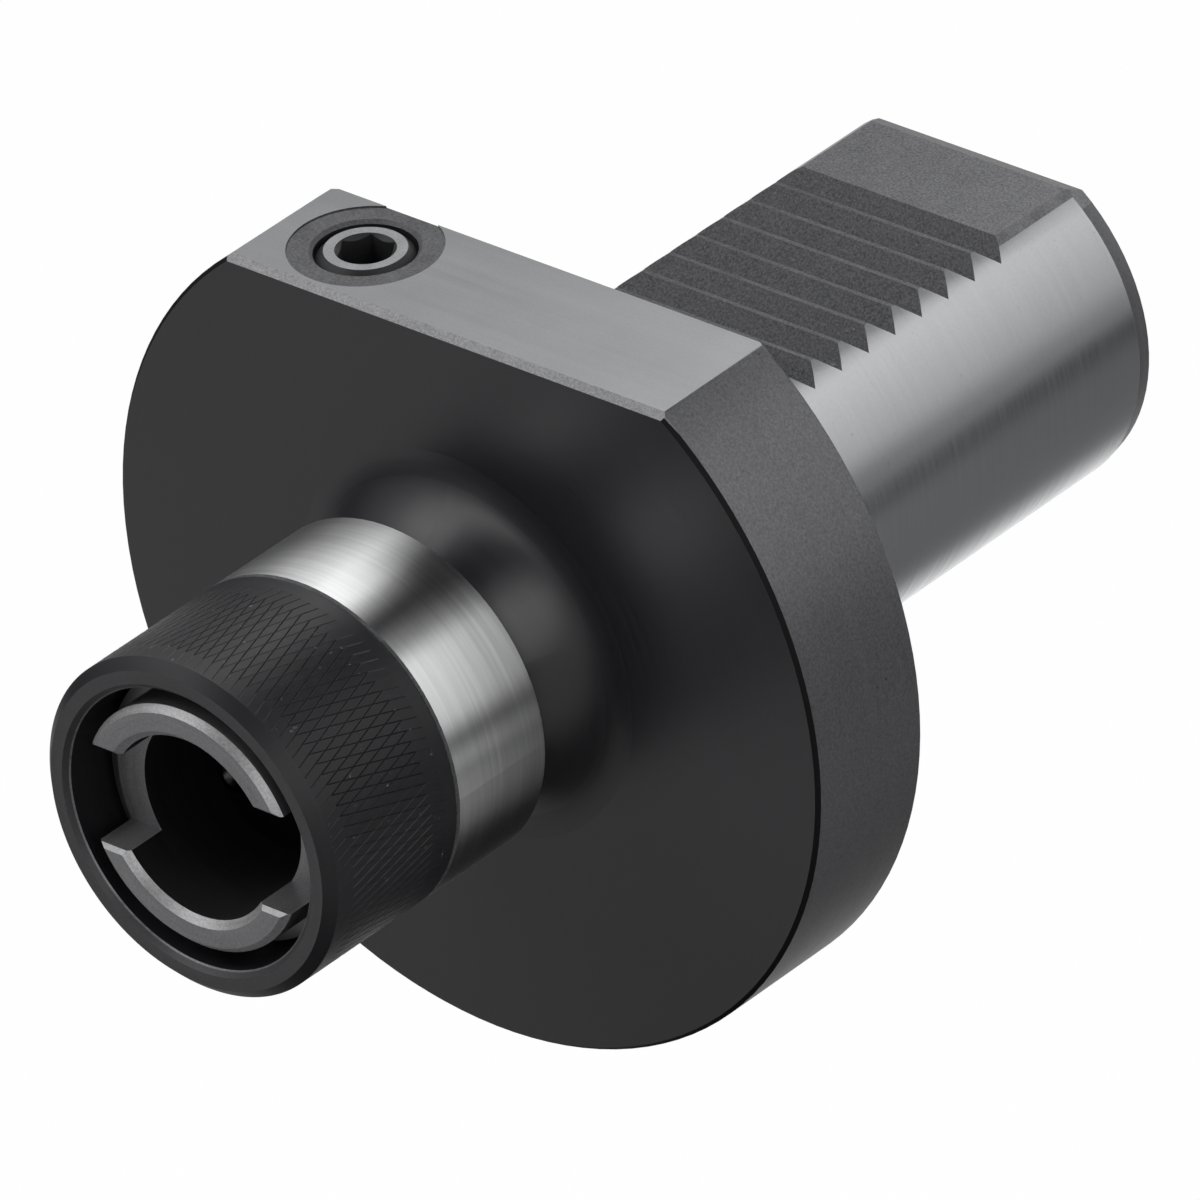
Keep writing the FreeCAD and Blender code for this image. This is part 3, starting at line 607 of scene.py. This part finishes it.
def seat_spring(wardrobe: Wardrobe, node: bpy.types.Object) -> None:
    """Stands a coil, a copy of the spring's mesh, in for a spring.

    Args:
        wardrobe: The finishes.
        node: The spring.
    """
    coil = bpy.data.objects.new(node.name.replace("spring", "coil"), node.data.copy())
    bpy.context.scene.collection.objects.link(coil)
    coil.data.transform(node.matrix_world)
    bpy.ops.object.select_all(action="DESELECT")
    coil.select_set(True)
    bpy.context.view_layer.objects.active = coil
    bpy.ops.object.mode_set(mode="EDIT")
    bpy.ops.mesh.select_all(action="SELECT")
    bpy.ops.mesh.remove_doubles(threshold=1e-6)
    bpy.ops.object.mode_set(mode="OBJECT")
    wardrobe.cover(coil, "spring wire")
    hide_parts(node.name)
    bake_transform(coil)


@dataclass
class Holder:
    """The toothed shank, flange and boss, with what is fixed in them."""

    nodes: dict[str, bpy.types.Object]
    flange_r: float = 42.5
    flange_thick: float = 15.4
    flange_flat: float = 33.5
    shank_r: float = 20.0
    shank_flat: float = 16.0
    flat_front: float = 12.8
    crest_lead: float = 2.3
    plain_from: float = 50.5
    lead_from: float = 61.1
    lead_len: float = 1.85
    valley_reach: float = 2.0
    round_skin: float = 0.03
    flat_margin: float = 0.1
    skin: float = 2.2
    rim_bevel: float = 0.8
    flat_reach: float = 2.5
    plug_x: float = -16.5
    plug_y: float = -6.8
    plug_top: float = 33.2
    spotface_r: float = 7.6
    spotface_depth: float = 0.3
    boss_face_r: float = 13.5
    boss_inside_r: float = 12.2
    end_bore_r: float = 13.7
    end_socket_r: float = 7.0
    end_socket: tuple[float, float] = (58.0, 61.9)
    names: tuple[str, ...] = (
        "black faced steel",
        "black turned boss",
        "black rim",
        "ground flat",
        "edge line",
        "dark recess",
        "ground shank",
        "blasted teeth",
        "tooth crest",
        "shank end",
        "black bevel",
        "groove flank",
        "spotface",
    )

    def dress(self, wardrobe: Wardrobe) -> None:
        """Gives the body's zones and the fixed pieces their finishes.

        Args:
            wardrobe: The finishes.
        """
        wardrobe.dress(self.nodes["holder_body"], self.names, self._zone)
        wardrobe.dress(self.nodes["flange_plug_screw"], ("zinc screw", "socket black"), self._screw_zone)
        wardrobe.dress(self.nodes["shank_end_plug"], ("shank end", "socket black"), self._plug_zone)
        for node in ("shank_seal_ring", "front_wiper_ring", "plug_seal_ring"):
            wardrobe.cover(self.nodes[node], "seal rubber")
        for node in ("front_guide_bush", "drive_bush"):
            wardrobe.cover(self.nodes[node], "turned bronze")
        wardrobe.cover(self.nodes["bush_dowel"], "ground shank")
        seat_spring(wardrobe, self.nodes["tension_spring"])
        seat_spring(wardrobe, self.nodes["compression_spring"])

    def _zone(self, centre: Vector, normal: Vector) -> str:
        """Picks the finish of one face of the body.

        Args:
            centre: The face's centre in millimetres.
            normal: The face's normal.

        Returns:
            The finish's name.
        """
        radius = math.hypot(centre.x, centre.z)
        if centre.y > NEAR:
            return self._shank_zone(centre, normal, radius)
        if radius > self.flange_r - CLOSE and abs(normal.y) < SLANTED and centre.y > -self.flange_thick:
            return "black rim"
        if radius > self.flange_r - self.rim_bevel and centre.z < self.flange_flat - self.rim_bevel:
            # The rim bevel gets painted shade.
            return "black bevel"
        if centre.z > self.flange_flat - self.flat_reach and centre.y > -self.flange_thick - NEAR:
            if centre.z > self.flange_flat - NEAR and normal.z > FACING:
                return "ground flat"
            if math.hypot(centre.x - self.plug_x, centre.y - self.plug_y) < self.spotface_r:
                shallow = centre.z > self.flange_flat - self.spotface_depth
                # The plug hole's wall gets painted shade.
                return "spotface" if shallow and normal.z > FACING else "dark recess"
            if abs(normal.y) < SQUARE:
                # Bevels round the flange's flat get a painted highlight.
                return "edge line"
        if abs(normal.y) > SQUARE:
            return "black faced steel" if radius > self.boss_face_r else "black turned boss"
        if radius > self.flange_r - self.rim_bevel:
            # The rim bevel gets painted shade.
            return "black bevel"
        # Faces inside the boss get painted shade.
        return "black turned boss" if radius > self.boss_inside_r else "dark recess"

    def _shank_zone(self, centre: Vector, normal: Vector, radius: float) -> str:
        """Picks the finish of one face of the shank.

        Args:
            centre: The face's centre in millimetres.
            normal: The face's normal.
            radius: The centre's distance from the axis in millimetres.

        Returns:
            The finish's name.
        """
        outer = radius > self.shank_r - self.skin or centre.z > self.shank_flat - self.flat_reach
        # Faces inside the shank get painted shade.
        if not outer or radius < self.end_bore_r:
            return "dark recess"
        high = centre.z > self.shank_flat - self.valley_reach and radius < self.shank_r - self.round_skin
        between = self.flat_front - self.flat_margin < centre.y < self.lead_from + self.lead_len
        if high and between and (normal.z > LEANING or abs(normal.y) > FACING):
            crest = normal.z > LEVEL and abs(centre.z - self.shank_flat) < CLOSE
            if crest and self.flat_front + self.crest_lead < centre.y < self.plain_from:
                return "tooth crest"
            if abs(normal.x) > SLANTED and normal.z > LEANING:
                # The shank flat's bevels get a painted highlight.
                return "edge line"
            # The grooves' flanks get painted shade.
            flank = SLANTED < abs(normal.y) < SQUARE and centre.y < self.plain_from
            return "groove flank" if flank else "blasted teeth"
        if centre.y > self.lead_from or abs(normal.y) > FACING:
            return "shank end"
        return "ground shank"

    def _screw_zone(self, centre: Vector, normal: Vector) -> str:
        """Picks the finish of one face of the plug screw: zinc on top, painted shade in its socket and
        thread.
        """
        return "zinc screw" if normal.z > SQUARE and centre.z > self.plug_top else "socket black"

    def _plug_zone(self, centre: Vector, normal: Vector) -> str:
        """Picks the finish of one face of the end plug: painted shade in its socket."""
        floor, mouth = self.end_socket
        inside = math.hypot(centre.x, centre.z) < self.end_socket_r and floor < centre.y < mouth
        return "socket black" if inside else "shank end"


@dataclass
class Spindle:
    """The floating spindle with its bright head and slotted receptacle."""

    nodes: dict[str, bpy.types.Object]
    head_front: float = -37.2
    head_rear: float = -24.5
    tube_r: float = 12.75
    tube_front: float = -55.2
    bore_r: float = 9.5
    cup_r: float = 15.4
    shaft_skin_r: float = 8.5
    slot_depth: float = 5.2
    slot_reach: float = 5.8
    mouth_edge: float = 0.75
    edge_slope: float = 0.2
    margin: float = 0.3
    face_margin: float = 0.02
    rear_margin: float = 0.1
    bore_margin: float = 0.5
    names: tuple[str, ...] = (
        "bright turned head",
        "receptacle face",
        "receptacle wall",
        "receptacle bore",
        "dark recess",
        "receptacle edge",
        "slot edge",
    )

    def dress(self, wardrobe: Wardrobe) -> None:
        """Gives the spindle's zones and the pieces on it their finishes.

        Args:
            wardrobe: The finishes.
        """
        wardrobe.dress(self.nodes["spindle"], self.names, self._zone)
        plain = {
            "ground shank": ("drive_key_right", "drive_key_left", "spring_collar", "tail_washer"),
            "shank end": ("tail_screw",),
            "spring wire": ("sleeve_retaining_ring", "spring_seat_washer"),
            "polished ball": ("locking_ball_1", "locking_ball_2", "locking_ball_3"),
        }
        for name, nodes in plain.items():
            for node in nodes:
                wardrobe.cover(self.nodes[node], name)
        seat_spring(wardrobe, self.nodes["sleeve_spring"])

    def _zone(self, centre: Vector, normal: Vector) -> str:
        """Picks the finish of one face of the spindle.

        Args:
            centre: The face's centre in millimetres.
            normal: The face's normal.

        Returns:
            The finish's name.
        """
        radius = math.hypot(centre.x, centre.z)
        if centre.y > self.head_front - self.margin and radius > self.tube_r + self.margin:
            behind_front = radius > self.cup_r and normal.y >= -SLANTED
            outside = behind_front and centre.y < self.head_rear + self.rear_margin
            # The head's end chamfers and hidden faces get painted shade.
            return "bright turned head" if outside else "dark recess"
        if centre.y > self.head_front:
            # Faces inside the head get painted shade, or the bore's dark colour.
            return "dark recess" if radius > self.shaft_skin_r else "receptacle bore"
        outward = (centre.x * normal.x + centre.z * normal.z) / max(radius, NEAR)
        if centre.y < self.tube_front + self.face_margin and normal.y < -FACING:
            return "receptacle face"
        if centre.y < self.tube_front + self.mouth_edge and self.edge_slope < abs(normal.y) < SQUARE:
            in_slot = abs(centre.z) < self.slot_reach and abs(normal.z) > LEANING
            # Chamfers at the mouth and slot edges get a painted highlight.
            return "slot edge" if in_slot else "receptacle edge"
        if outward > OUTWARD and radius > self.tube_r - self.margin:
            return "receptacle wall"
        if outward < -OUTWARD and radius < self.bore_r + self.bore_margin:
            return "receptacle bore"
        # Faces deeper than the slots get painted shade.
        return "receptacle face" if centre.y < self.tube_front + self.slot_depth else "dark recess"


@dataclass
class ReleaseSleeve:
    """The black release sleeve with its diamond knurl, modelled as one piece."""

    front: float = -55.4
    rear: float = -37.3
    outer_r: float = 17.5
    bore_r: float = 14.5
    lip_lead: float = 0.6
    lip_edge: float = 0.14
    face_r: float = 16.45
    face_edge_y: float = 0.95
    front_edge: float = 0.08
    front_edge_y: float = 0.1
    rear_edge: float = 0.2
    face_margin: float = 0.02
    collar_front: float = -42.539
    collar_rear: float = -41.339
    collar_r: float = 12.8
    ramp_end_r: float = 14.959
    ramp_end: float = -34.9
    skirt_rear: float = -33.4
    skirt_r: float = 16.2
    knurl_front: float = -54.2
    knurl_rear: float = -39.0
    knurl_columns: int = 204
    knurl_rows: int = 8
    groove_depth: float = 0.055
    groove_half_width: float = 0.07
    smooth_below: float = 12.0
    edge_zone: float = 0.21
    groove_zone: float = 0.3
    names: tuple[str, ...] = ("sleeve black", "sleeve knurl", "sleeve lip", "lip edge", "worn edge")

    def profile(self) -> list[tuple[float, float]]:
        """Lists the turned profile after the knurl band, from its rear round to its front.

        Returns:
            Radii and places along the axis in millimetres.
        """
        return [
            (self.outer_r, self.knurl_rear),
            (self.outer_r, self.rear - self.rear_edge),
            (self.outer_r - self.rear_edge, self.rear),
            (self.skirt_r, self.rear),
            (self.skirt_r, self.skirt_rear),
            (self.ramp_end_r, self.skirt_rear),
            (self.ramp_end_r, self.ramp_end),
            (self.collar_r, self.collar_rear),
            (self.collar_r, self.collar_front),
            (self.bore_r, self.collar_front),
            (self.bore_r, self.front + self.lip_lead),
            (self.bore_r + self.lip_edge, self.front + self.lip_lead - self.lip_edge),
            (self.bore_r + self.lip_lead, self.front),
            (self.face_r, self.front),
            (self.outer_r - self.front_edge, self.front + self.face_edge_y),
            (self.outer_r, self.front + self.face_edge_y + self.front_edge_y),
            (self.outer_r, self.knurl_front),
        ]

    def build(self, wardrobe: Wardrobe) -> bpy.types.Object:
        """Models, dresses and seats the sleeve.

        Args:
            wardrobe: The finishes.

        Returns:
            The finished piece.
        """
        piece = self._knurl_band()
        self._knurl(piece)
        self._turn_body(piece)
        bpy.ops.object.mode_set(mode="EDIT")
        bpy.ops.mesh.select_all(action="SELECT")
        bpy.ops.mesh.remove_doubles(threshold=1e-6)
        bpy.ops.mesh.normals_make_consistent(inside=False)
        bpy.ops.object.mode_set(mode="OBJECT")
        bpy.ops.object.shade_smooth_by_angle(angle=math.radians(self.smooth_below))
        wardrobe.dress(piece, self.names, self._zone)
        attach(piece, "sleeve")
        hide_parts("release_sleeve")
        return piece

    def _knurl_band(self) -> bpy.types.Object:
        """Adds the band that will be knurled, with its rows cut in.

        Returns:
            The open band.
        """
        bpy.ops.object.select_all(action="DESELECT")
        length = (self.knurl_rear - self.knurl_front) * MM
        middle = (self.knurl_rear + self.knurl_front) / 2 * MM
        bpy.ops.mesh.primitive_cylinder_add(
            vertices=self.knurl_columns,
            radius=self.outer_r * MM,
            depth=length,
            end_fill_type="NOTHING",
            location=(0, middle, 0),
            rotation=(math.pi / 2, 0, 0),
        )
        piece = bpy.context.active_object
        piece.name = "knurled_release_sleeve"
        bpy.ops.object.transform_apply(location=True, rotation=True, scale=True)
        bpy.ops.object.mode_set(mode="EDIT")
        self._select(piece, "EDGE", lambda edge: abs(edge.verts[0].co.y - edge.verts[1].co.y) > length / 2)
        bpy.ops.mesh.subdivide(number_cuts=self.knurl_rows - 1)
        bpy.ops.object.mode_set(mode="OBJECT")
        return piece

    @staticmethod
    def _select(piece: bpy.types.Object, kind: str, wanted: Callable[..., bool]) -> None:
        """Selects the corners or edges that pass a test, in edit mode.

        Args:
            piece: The piece.
            kind: VERT for corners or EDGE for edges.
            wanted: The test.
        """
        bpy.ops.mesh.select_mode(type=kind)
        bpy.ops.mesh.select_all(action="DESELECT")
        mesh = bmesh.from_edit_mesh(piece.data)
        for item in mesh.verts if kind == "VERT" else mesh.edges:
            item.select = wanted(item)
        if kind == "VERT":
            mesh.select_flush_mode()
        bmesh.update_edit_mesh(piece.data)

    def _knurl(self, piece: bpy.types.Object) -> None:
        """Cuts two crossing sets of slanted grooves into the band.

        The rising grooves end a row before the band's rear and the falling ones start a row
        behind its front, so that only one set is left at each end.

        Args:
            piece: The band.
        """
        step = (self.knurl_rear - self.knurl_front) / self.knurl_rows
        turn = 2 * math.pi / self.knurl_columns
        first = math.atan2(piece.data.vertices[0].co.z, piece.data.vertices[0].co.x)
        half = self.knurl_columns // 2
        low = (self.outer_r - self.groove_depth) / self.outer_r
        bpy.ops.object.mode_set(mode="EDIT")

        def place(corner: bmesh.types.BMVert) -> tuple[int, int]:
            """Finds a corner's row from the front and its column in the grid."""
            row = round((corner.co.y / MM - self.knurl_front) / step)
            return row, round((math.atan2(corner.co.z, corner.co.x) - first) / turn)

        def is_groove(edge: bmesh.types.BMEdge) -> bool:
            """Tells whether a groove runs along an edge."""
            (front, left), (rear, right) = sorted(place(corner) for corner in edge.verts)
            across = (right - left + half) % self.knurl_columns - half
            rising = across == 1 and front < self.knurl_rows - 1
            falling = across == -1 and front > 0
            return rear > front and (rising or falling)

        def lower(crossings: bool) -> None:
            """Sinks the corners in which grooves cross, or all others, to the grooves' depth."""
            self._select(piece, "VERT", lambda corner: (sum(place(corner)) % 2 == 1) is crossings)
            bpy.ops.transform.resize(value=(low, 1, low), center_override=(0, 0, 0))

        lower(True)
        bpy.ops.mesh.select_all(action="SELECT")
        bpy.ops.mesh.quads_convert_to_tris(quad_method="SHORTEST_DIAGONAL")
        lower(False)
        bpy.ops.mesh.select_all(action="SELECT")
        bpy.ops.mesh.normals_make_consistent(inside=False)
        self._select(piece, "EDGE", is_groove)
        bpy.ops.mesh.edge_split(type="EDGE")
        bpy.ops.mesh.select_mode(type="FACE")
        bpy.ops.mesh.select_all(action="SELECT")
        bpy.ops.mesh.inset(
            thickness=self.groove_half_width * MM,
            depth=self.groove_depth * MM,
            use_boundary=True,
            use_even_offset=True,
        )
        ends = (self.knurl_front, self.knurl_rear)
        self._select(piece, "VERT", lambda corner: min(abs(corner.co.y / MM - end) for end in ends) < NEAR)
        bpy.ops.transform.resize(value=(1 / low, 1, 1 / low), center_override=(0, 0, 0))
        bpy.ops.object.mode_set(mode="OBJECT")

    def _turn_body(self, piece: bpy.types.Object) -> None:
        """Extrudes the rest of the sleeve from a ring at the knurl's rear, profile point by point.

        Args:
            piece: The knurled band, which takes in the turned body.
        """
        profile = self.profile()
        bpy.ops.object.select_all(action="DESELECT")
        bpy.ops.mesh.primitive_circle_add(
            vertices=self.knurl_columns,
            radius=profile[0][0] * MM,
            location=(0, profile[0][1] * MM, 0),
            rotation=(math.pi / 2, 0, 0),
        )
        body = bpy.context.active_object
        bpy.ops.object.transform_apply(location=True, rotation=True, scale=True)
        bpy.ops.object.mode_set(mode="EDIT")
        bpy.ops.mesh.select_all(action="SELECT")
        for (radius, place), (new_radius, new_place) in zip(profile, profile[1:]):
            bpy.ops.mesh.extrude_edges_indiv()
            bpy.ops.transform.translate(value=(0, (new_place - place) * MM, 0))
            ratio = new_radius / radius
            bpy.ops.transform.resize(value=(ratio, 1, ratio), center_override=(0, new_place * MM, 0))
        bpy.ops.object.mode_set(mode="OBJECT")
        body.select_set(True)
        piece.select_set(True)
        bpy.context.view_layer.objects.active = piece
        bpy.ops.object.join()

    def _zone(self, centre: Vector, normal: Vector) -> str:
        """Picks the finish of one face of the sleeve.

        Args:
            centre: The face's centre in millimetres.
            normal: The face's normal.

        Returns:
            The finish's name.
        """
        radius = math.hypot(centre.x, centre.z)
        if self.knurl_front < centre.y < self.knurl_rear and radius > self.outer_r - self.groove_zone:
            return "sleeve knurl"
        at_rear = self.rear - self.edge_zone < centre.y < self.rear - NEAR
        if at_rear and radius > self.outer_r - self.edge_zone:
            return "worn edge"
        in_front = centre.y < self.front + self.lip_lead
        if in_front and radius < self.bore_r + self.lip_edge:
            # The lip's inner chamfer gets a painted highlight.
            return "lip edge"
        return "sleeve lip" if in_front and radius < self.face_r + self.face_margin else "sleeve black"


# Studio


@dataclass(frozen=True)
class Lamp:
    """One soft box."""

    name: str
    place: tuple[float, float, float]
    width: float
    length: float
    power: float


@dataclass(frozen=True)
class Panel:
    """A soft box in the light tent, seen only in reflections.

    The panels' values come from a fit to tones read from the photograph, then rounded.

    Attributes:
        name: What it is.
        start: Where it starts round the chuck's axis, in degrees from +X towards +Z.
        end: Where it ends.
        at_start: Its brightness where it starts.
        at_end: Its brightness where it ends.
    """

    name: str
    start: float
    end: float
    at_start: float
    at_end: float


@dataclass
class Studio:
    """Floor, light tent, lamps, world and camera, which was fitted to the photograph's edges."""

    floor_z: float = -0.3
    floor_size: float = 12.0
    floor_glow: float = 0.97
    soft_light: float = 0.55
    azimuth: float = 41.74
    elevation: float = 31.03
    roll: float = -4.07
    distance: float = 1.76
    focal_px: float = 18755.0
    image_px: float = 1200.0
    target: tuple[float, float, float] = (0.00354, 0.0, -0.00176)
    lamps: tuple[Lamp, ...] = (
        Lamp("key box", (-0.55, -0.35, 0.75), 0.5, 0.5, 7.0),
        Lamp("right box", (0.8, 0.1, 0.6), 0.4, 0.6, 3.0),
    )
    tent_strength: float = 5.2
    tent_r: float = 0.28
    tent_length: float = 2.4
    tent_sides: int = 96
    back_fade: tuple[float, float] = (0.12, 0.24)
    soft_edge: float = 12.0
    dark_gap: float = 0.02
    front_panels: tuple[Panel, ...] = (
        Panel("floor bounce", -155, -145, 0.5, 0.6),
        Panel("floor fade", -130, -110, 0.35, 0.3),
        Panel("low fill", -50, -25, 0.25, 0.5),
        Panel("thin dark card", -20, -20, 0.2, 0.2),
        Panel("side strip", -12, -12, 0.7, 0.7),
        Panel("right box", 12, 50, 1.2, 1.7),
        Panel("right fade", 60, 60, 0.4, 0.4),
        Panel("top box", 108, 120, 0.6, 2.0),
        Panel("top fade", 130, 145, 1.6, 1.2),
        Panel("left wall", 155, 170, 0.55, 0.25),
    )
    back_panels: tuple[Panel, ...] = (
        Panel("left wall", -180, -130, 0.9, 1.9),
        Panel("left fade", -120, -95, 1.5, 0.7),
        Panel("low fill", -85, -25, 0.25, 0.15),
        Panel("dark card", -21, -15, 0.05, 0.05),
        Panel("right wall", -10, 50, 0.4, 1.0),
        Panel("right fade", 60, 70, 0.3, 0.5),
        Panel("dark card above", 80, 85, 0.02, 0.02),
        Panel("top box", 96, 108, 1.5, 5.0),
        Panel("top fade", 120, 120, 3.5, 3.5),
        Panel("left wall, upper half", 170, 180, 0.35, 0.85),
    )

    def build(self) -> None:
        """Makes the whole studio."""
        self._world()
        self._floor()
        self._tent()
        for lamp in self.lamps:
            self._lamp(lamp)
        self._camera()

    def _world(self) -> None:
        """Makes the world: plain white to the eye and in reflections, soft light on the object."""
        world = bpy.data.worlds.new("studio")
        bpy.context.scene.world = world
        world.use_nodes = True
        bench = NodeBench(world.node_tree)
        world.node_tree.nodes.clear()
        soft = bench.add("Background")
        soft.inputs["Color"].default_value = (0.8, 0.8, 0.82, 1)
        soft.inputs["Strength"].default_value = self.soft_light
        white = bench.add("Background")
        white.inputs["Color"].default_value = (1, 1, 1, 1)
        white.inputs["Strength"].default_value = 1.0
        mixed = bench.mix(bench.seen(), soft.outputs[0], white.outputs[0])
        bench.feed(bench.add("OutputWorld").inputs[0], mixed)

    def _floor(self) -> None:
        """Adds the pale floor, well below the chuck."""
        bpy.ops.object.select_all(action="DESELECT")
        bpy.ops.mesh.primitive_plane_add(size=self.floor_size, location=(0, 0, self.floor_z))
        floor = bpy.context.active_object
        floor.name = "floor"
        bpy.ops.object.transform_apply(location=True, rotation=True, scale=True)
        material = bpy.data.materials.new("floor paper")
        material.use_nodes = True
        bench = NodeBench(material.node_tree)
        shader = material.node_tree.nodes["Principled BSDF"]
        fibres = bench.noise(bench.place(), 40.0, 3.0)
        paper = bench.blend(fibres, (0.86, 0.86, 0.86, 1), (0.88, 0.88, 0.88, 1))
        bench.feed(shader.inputs["Base Color"], paper)
        shader.inputs["Roughness"].default_value = 0.8
        glow = bench.add("Emission")
        glow.inputs["Color"].default_value = (1, 1, 1, 1)
        white = bench.math("MULTIPLY", bench.seen(), self.floor_glow)
        mixed = bench.mix(white, shader.outputs[0], glow.outputs[0])
        bench.feed(material.node_tree.nodes["Material Output"].inputs[0], mixed)
        floor.data.materials.append(material)

    def _tent(self) -> None:
        """Adds a light tent round the axis, seen only in reflections, with soft panels and dark gaps."""
        bpy.ops.object.select_all(action="DESELECT")
        bpy.ops.mesh.primitive_cylinder_add(
            vertices=self.tent_sides,
            radius=self.tent_r,
            depth=self.tent_length,
            end_fill_type="NOTHING",
            location=(0, 0, 0),
            rotation=(math.pi / 2, 0, 0),
        )
        tent = bpy.context.active_object
        tent.name = "light_tent"
        bpy.ops.object.transform_apply(location=True, rotation=True, scale=True)
        material = bpy.data.materials.new("tent cloth")
        material.use_nodes = True
        bench = NodeBench(material.node_tree)
        material.node_tree.nodes.clear()
        x, y, z = bench.split(bench.place())
        turn = bench.math("MULTIPLY_ADD", bench.math("ARCTAN2", z, x), 0.5 / math.pi, 0.5)
        front = self._ramp(bench, turn, self._stops(self.front_panels))
        back = self._ramp(bench, turn, self._stops(self.back_panels))
        cloth = bench.blend(bench.span(y, *self.back_fade), front, back)
        glow = bench.add("Emission")
        glow.inputs["Strength"].default_value = self.tent_strength
        bench.feed(glow.inputs["Color"], cloth)
        bench.feed(bench.add("OutputMaterial").inputs[0], glow.outputs[0])
        tent.data.materials.append(material)
        tent.visible_camera = False
        tent.visible_diffuse = False
        tent.visible_shadow = False
        tent.visible_transmission = False

    def _stops(self, panels: tuple[Panel, ...]) -> list[tuple[float, float]]:
        """Turns panels into the stops of a ramp, dark where two panels leave room for it.

        Args:
            panels: The panels in order round the tent.

        Returns:
            Each stop's place from 0 to 1 and its brightness.
        """
        stops: list[tuple[float, float]] = []
        before = -360.0
        for panel, after in zip(panels, (*(later.start for later in panels[1:]), 360.0)):
            if panel.start - before >= 2 * self.soft_edge and panel.start - self.soft_edge >= -180:
                stops.append((panel.start - self.soft_edge, self.dark_gap))
            stops.append((panel.start, panel.at_start))
            if panel.end > panel.start:
                stops.append((panel.end, panel.at_end))
            if after - panel.end > 2 * self.soft_edge and panel.end + self.soft_edge <= 180:
                stops.append((panel.end + self.soft_edge, self.dark_gap))
            before = panel.end
        return [(place / 360 + 0.5, brightness) for place, brightness in stops]

    def _ramp(self, bench: NodeBench, value: Socket, stops: list[tuple[float, float]]) -> Socket:
        """Adds a grey ramp.

        Args:
            bench: The bench to use.
            value: Where the ramp is read.
            stops: Places and tones.

        Returns:
            The ramp's colour.
        """
        node = bench.add("ValToRGB")
        ramp = node.color_ramp
        while len(ramp.elements) > 1:
            ramp.elements.remove(ramp.elements[-1])
        for number, (place, tone) in enumerate(stops):
            stop = ramp.elements[0] if number == 0 else ramp.elements.new(place)
            stop.position = place
            grey = min(tone / self.tent_strength, 1.0)
            stop.color = (grey, grey, grey, 1)
        bench.feed(node.inputs[0], value)
        return node.outputs[0]

    @staticmethod
    def _lamp(lamp: Lamp) -> None:
        """Adds a soft box that points at the chuck.

        Args:
            lamp: The soft box.
        """
        data = bpy.data.lights.new(lamp.name, "AREA")
        data.shape = "RECTANGLE"
        data.size, data.size_y = lamp.width, lamp.length
        data.energy = lamp.power
        box = bpy.data.objects.new(lamp.name, data)
        box.location = lamp.place
        box.visible_glossy = False
        box.rotation_euler = (-Vector(lamp.place)).to_track_quat("-Z", "Y").to_euler()
        bpy.context.collection.objects.link(box)

    def _camera(self) -> None:
        """Adds the camera of the photograph's viewpoint."""
        angles = (self.azimuth, self.elevation, self.roll)
        azimuth, elevation, roll = (math.radians(angle) for angle in angles)
        level = math.cos(elevation)
        back = Vector((math.sin(azimuth) * level, -math.cos(azimuth) * level, math.sin(elevation)))
        right = Vector((math.cos(azimuth), math.sin(azimuth), 0))
        up = back.cross(right)
        tilted_right = right * math.cos(roll) + up * math.sin(roll)
        tilted_up = up * math.cos(roll) - right * math.sin(roll)
        data = bpy.data.cameras.new("camera")
        data.sensor_width = 36.0
        data.lens = self.focal_px / self.image_px * data.sensor_width
        data.clip_start, data.clip_end = 0.05, 60.0
        camera = bpy.data.objects.new("camera", data)
        axes = Matrix((tilted_right, tilted_up, back)).transposed().to_4x4()
        camera.matrix_world = Matrix.Translation(Vector(self.target) + back * self.distance) @ axes
        bpy.context.collection.objects.link(camera)
        bpy.context.scene.camera = camera


def main() -> None:
    """Builds the chuck's looks and the studio, and reports each piece."""
    logging.basicConfig(level=logging.INFO, format="%(name)s: %(message)s")
    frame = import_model()
    scene = bpy.context.scene
    scene.view_settings.view_transform = "Standard"
    wardrobe = Wardrobe()
    wardrobe.build()
    LOG.info("%d finishes ready", len(wardrobe.made))
    Holder(frame["nodes"]).dress(wardrobe)
    LOG.info("holder dressed")
    Spindle(frame["nodes"]).dress(wardrobe)
    LOG.info("spindle dressed")
    sleeve = ReleaseSleeve().build(wardrobe)
    LOG.info("%s: %d faces", sleeve.name, len(sleeve.data.polygons))
    Studio().build()
    LOG.info("studio ready")


if __name__ == "__main__":
    main()
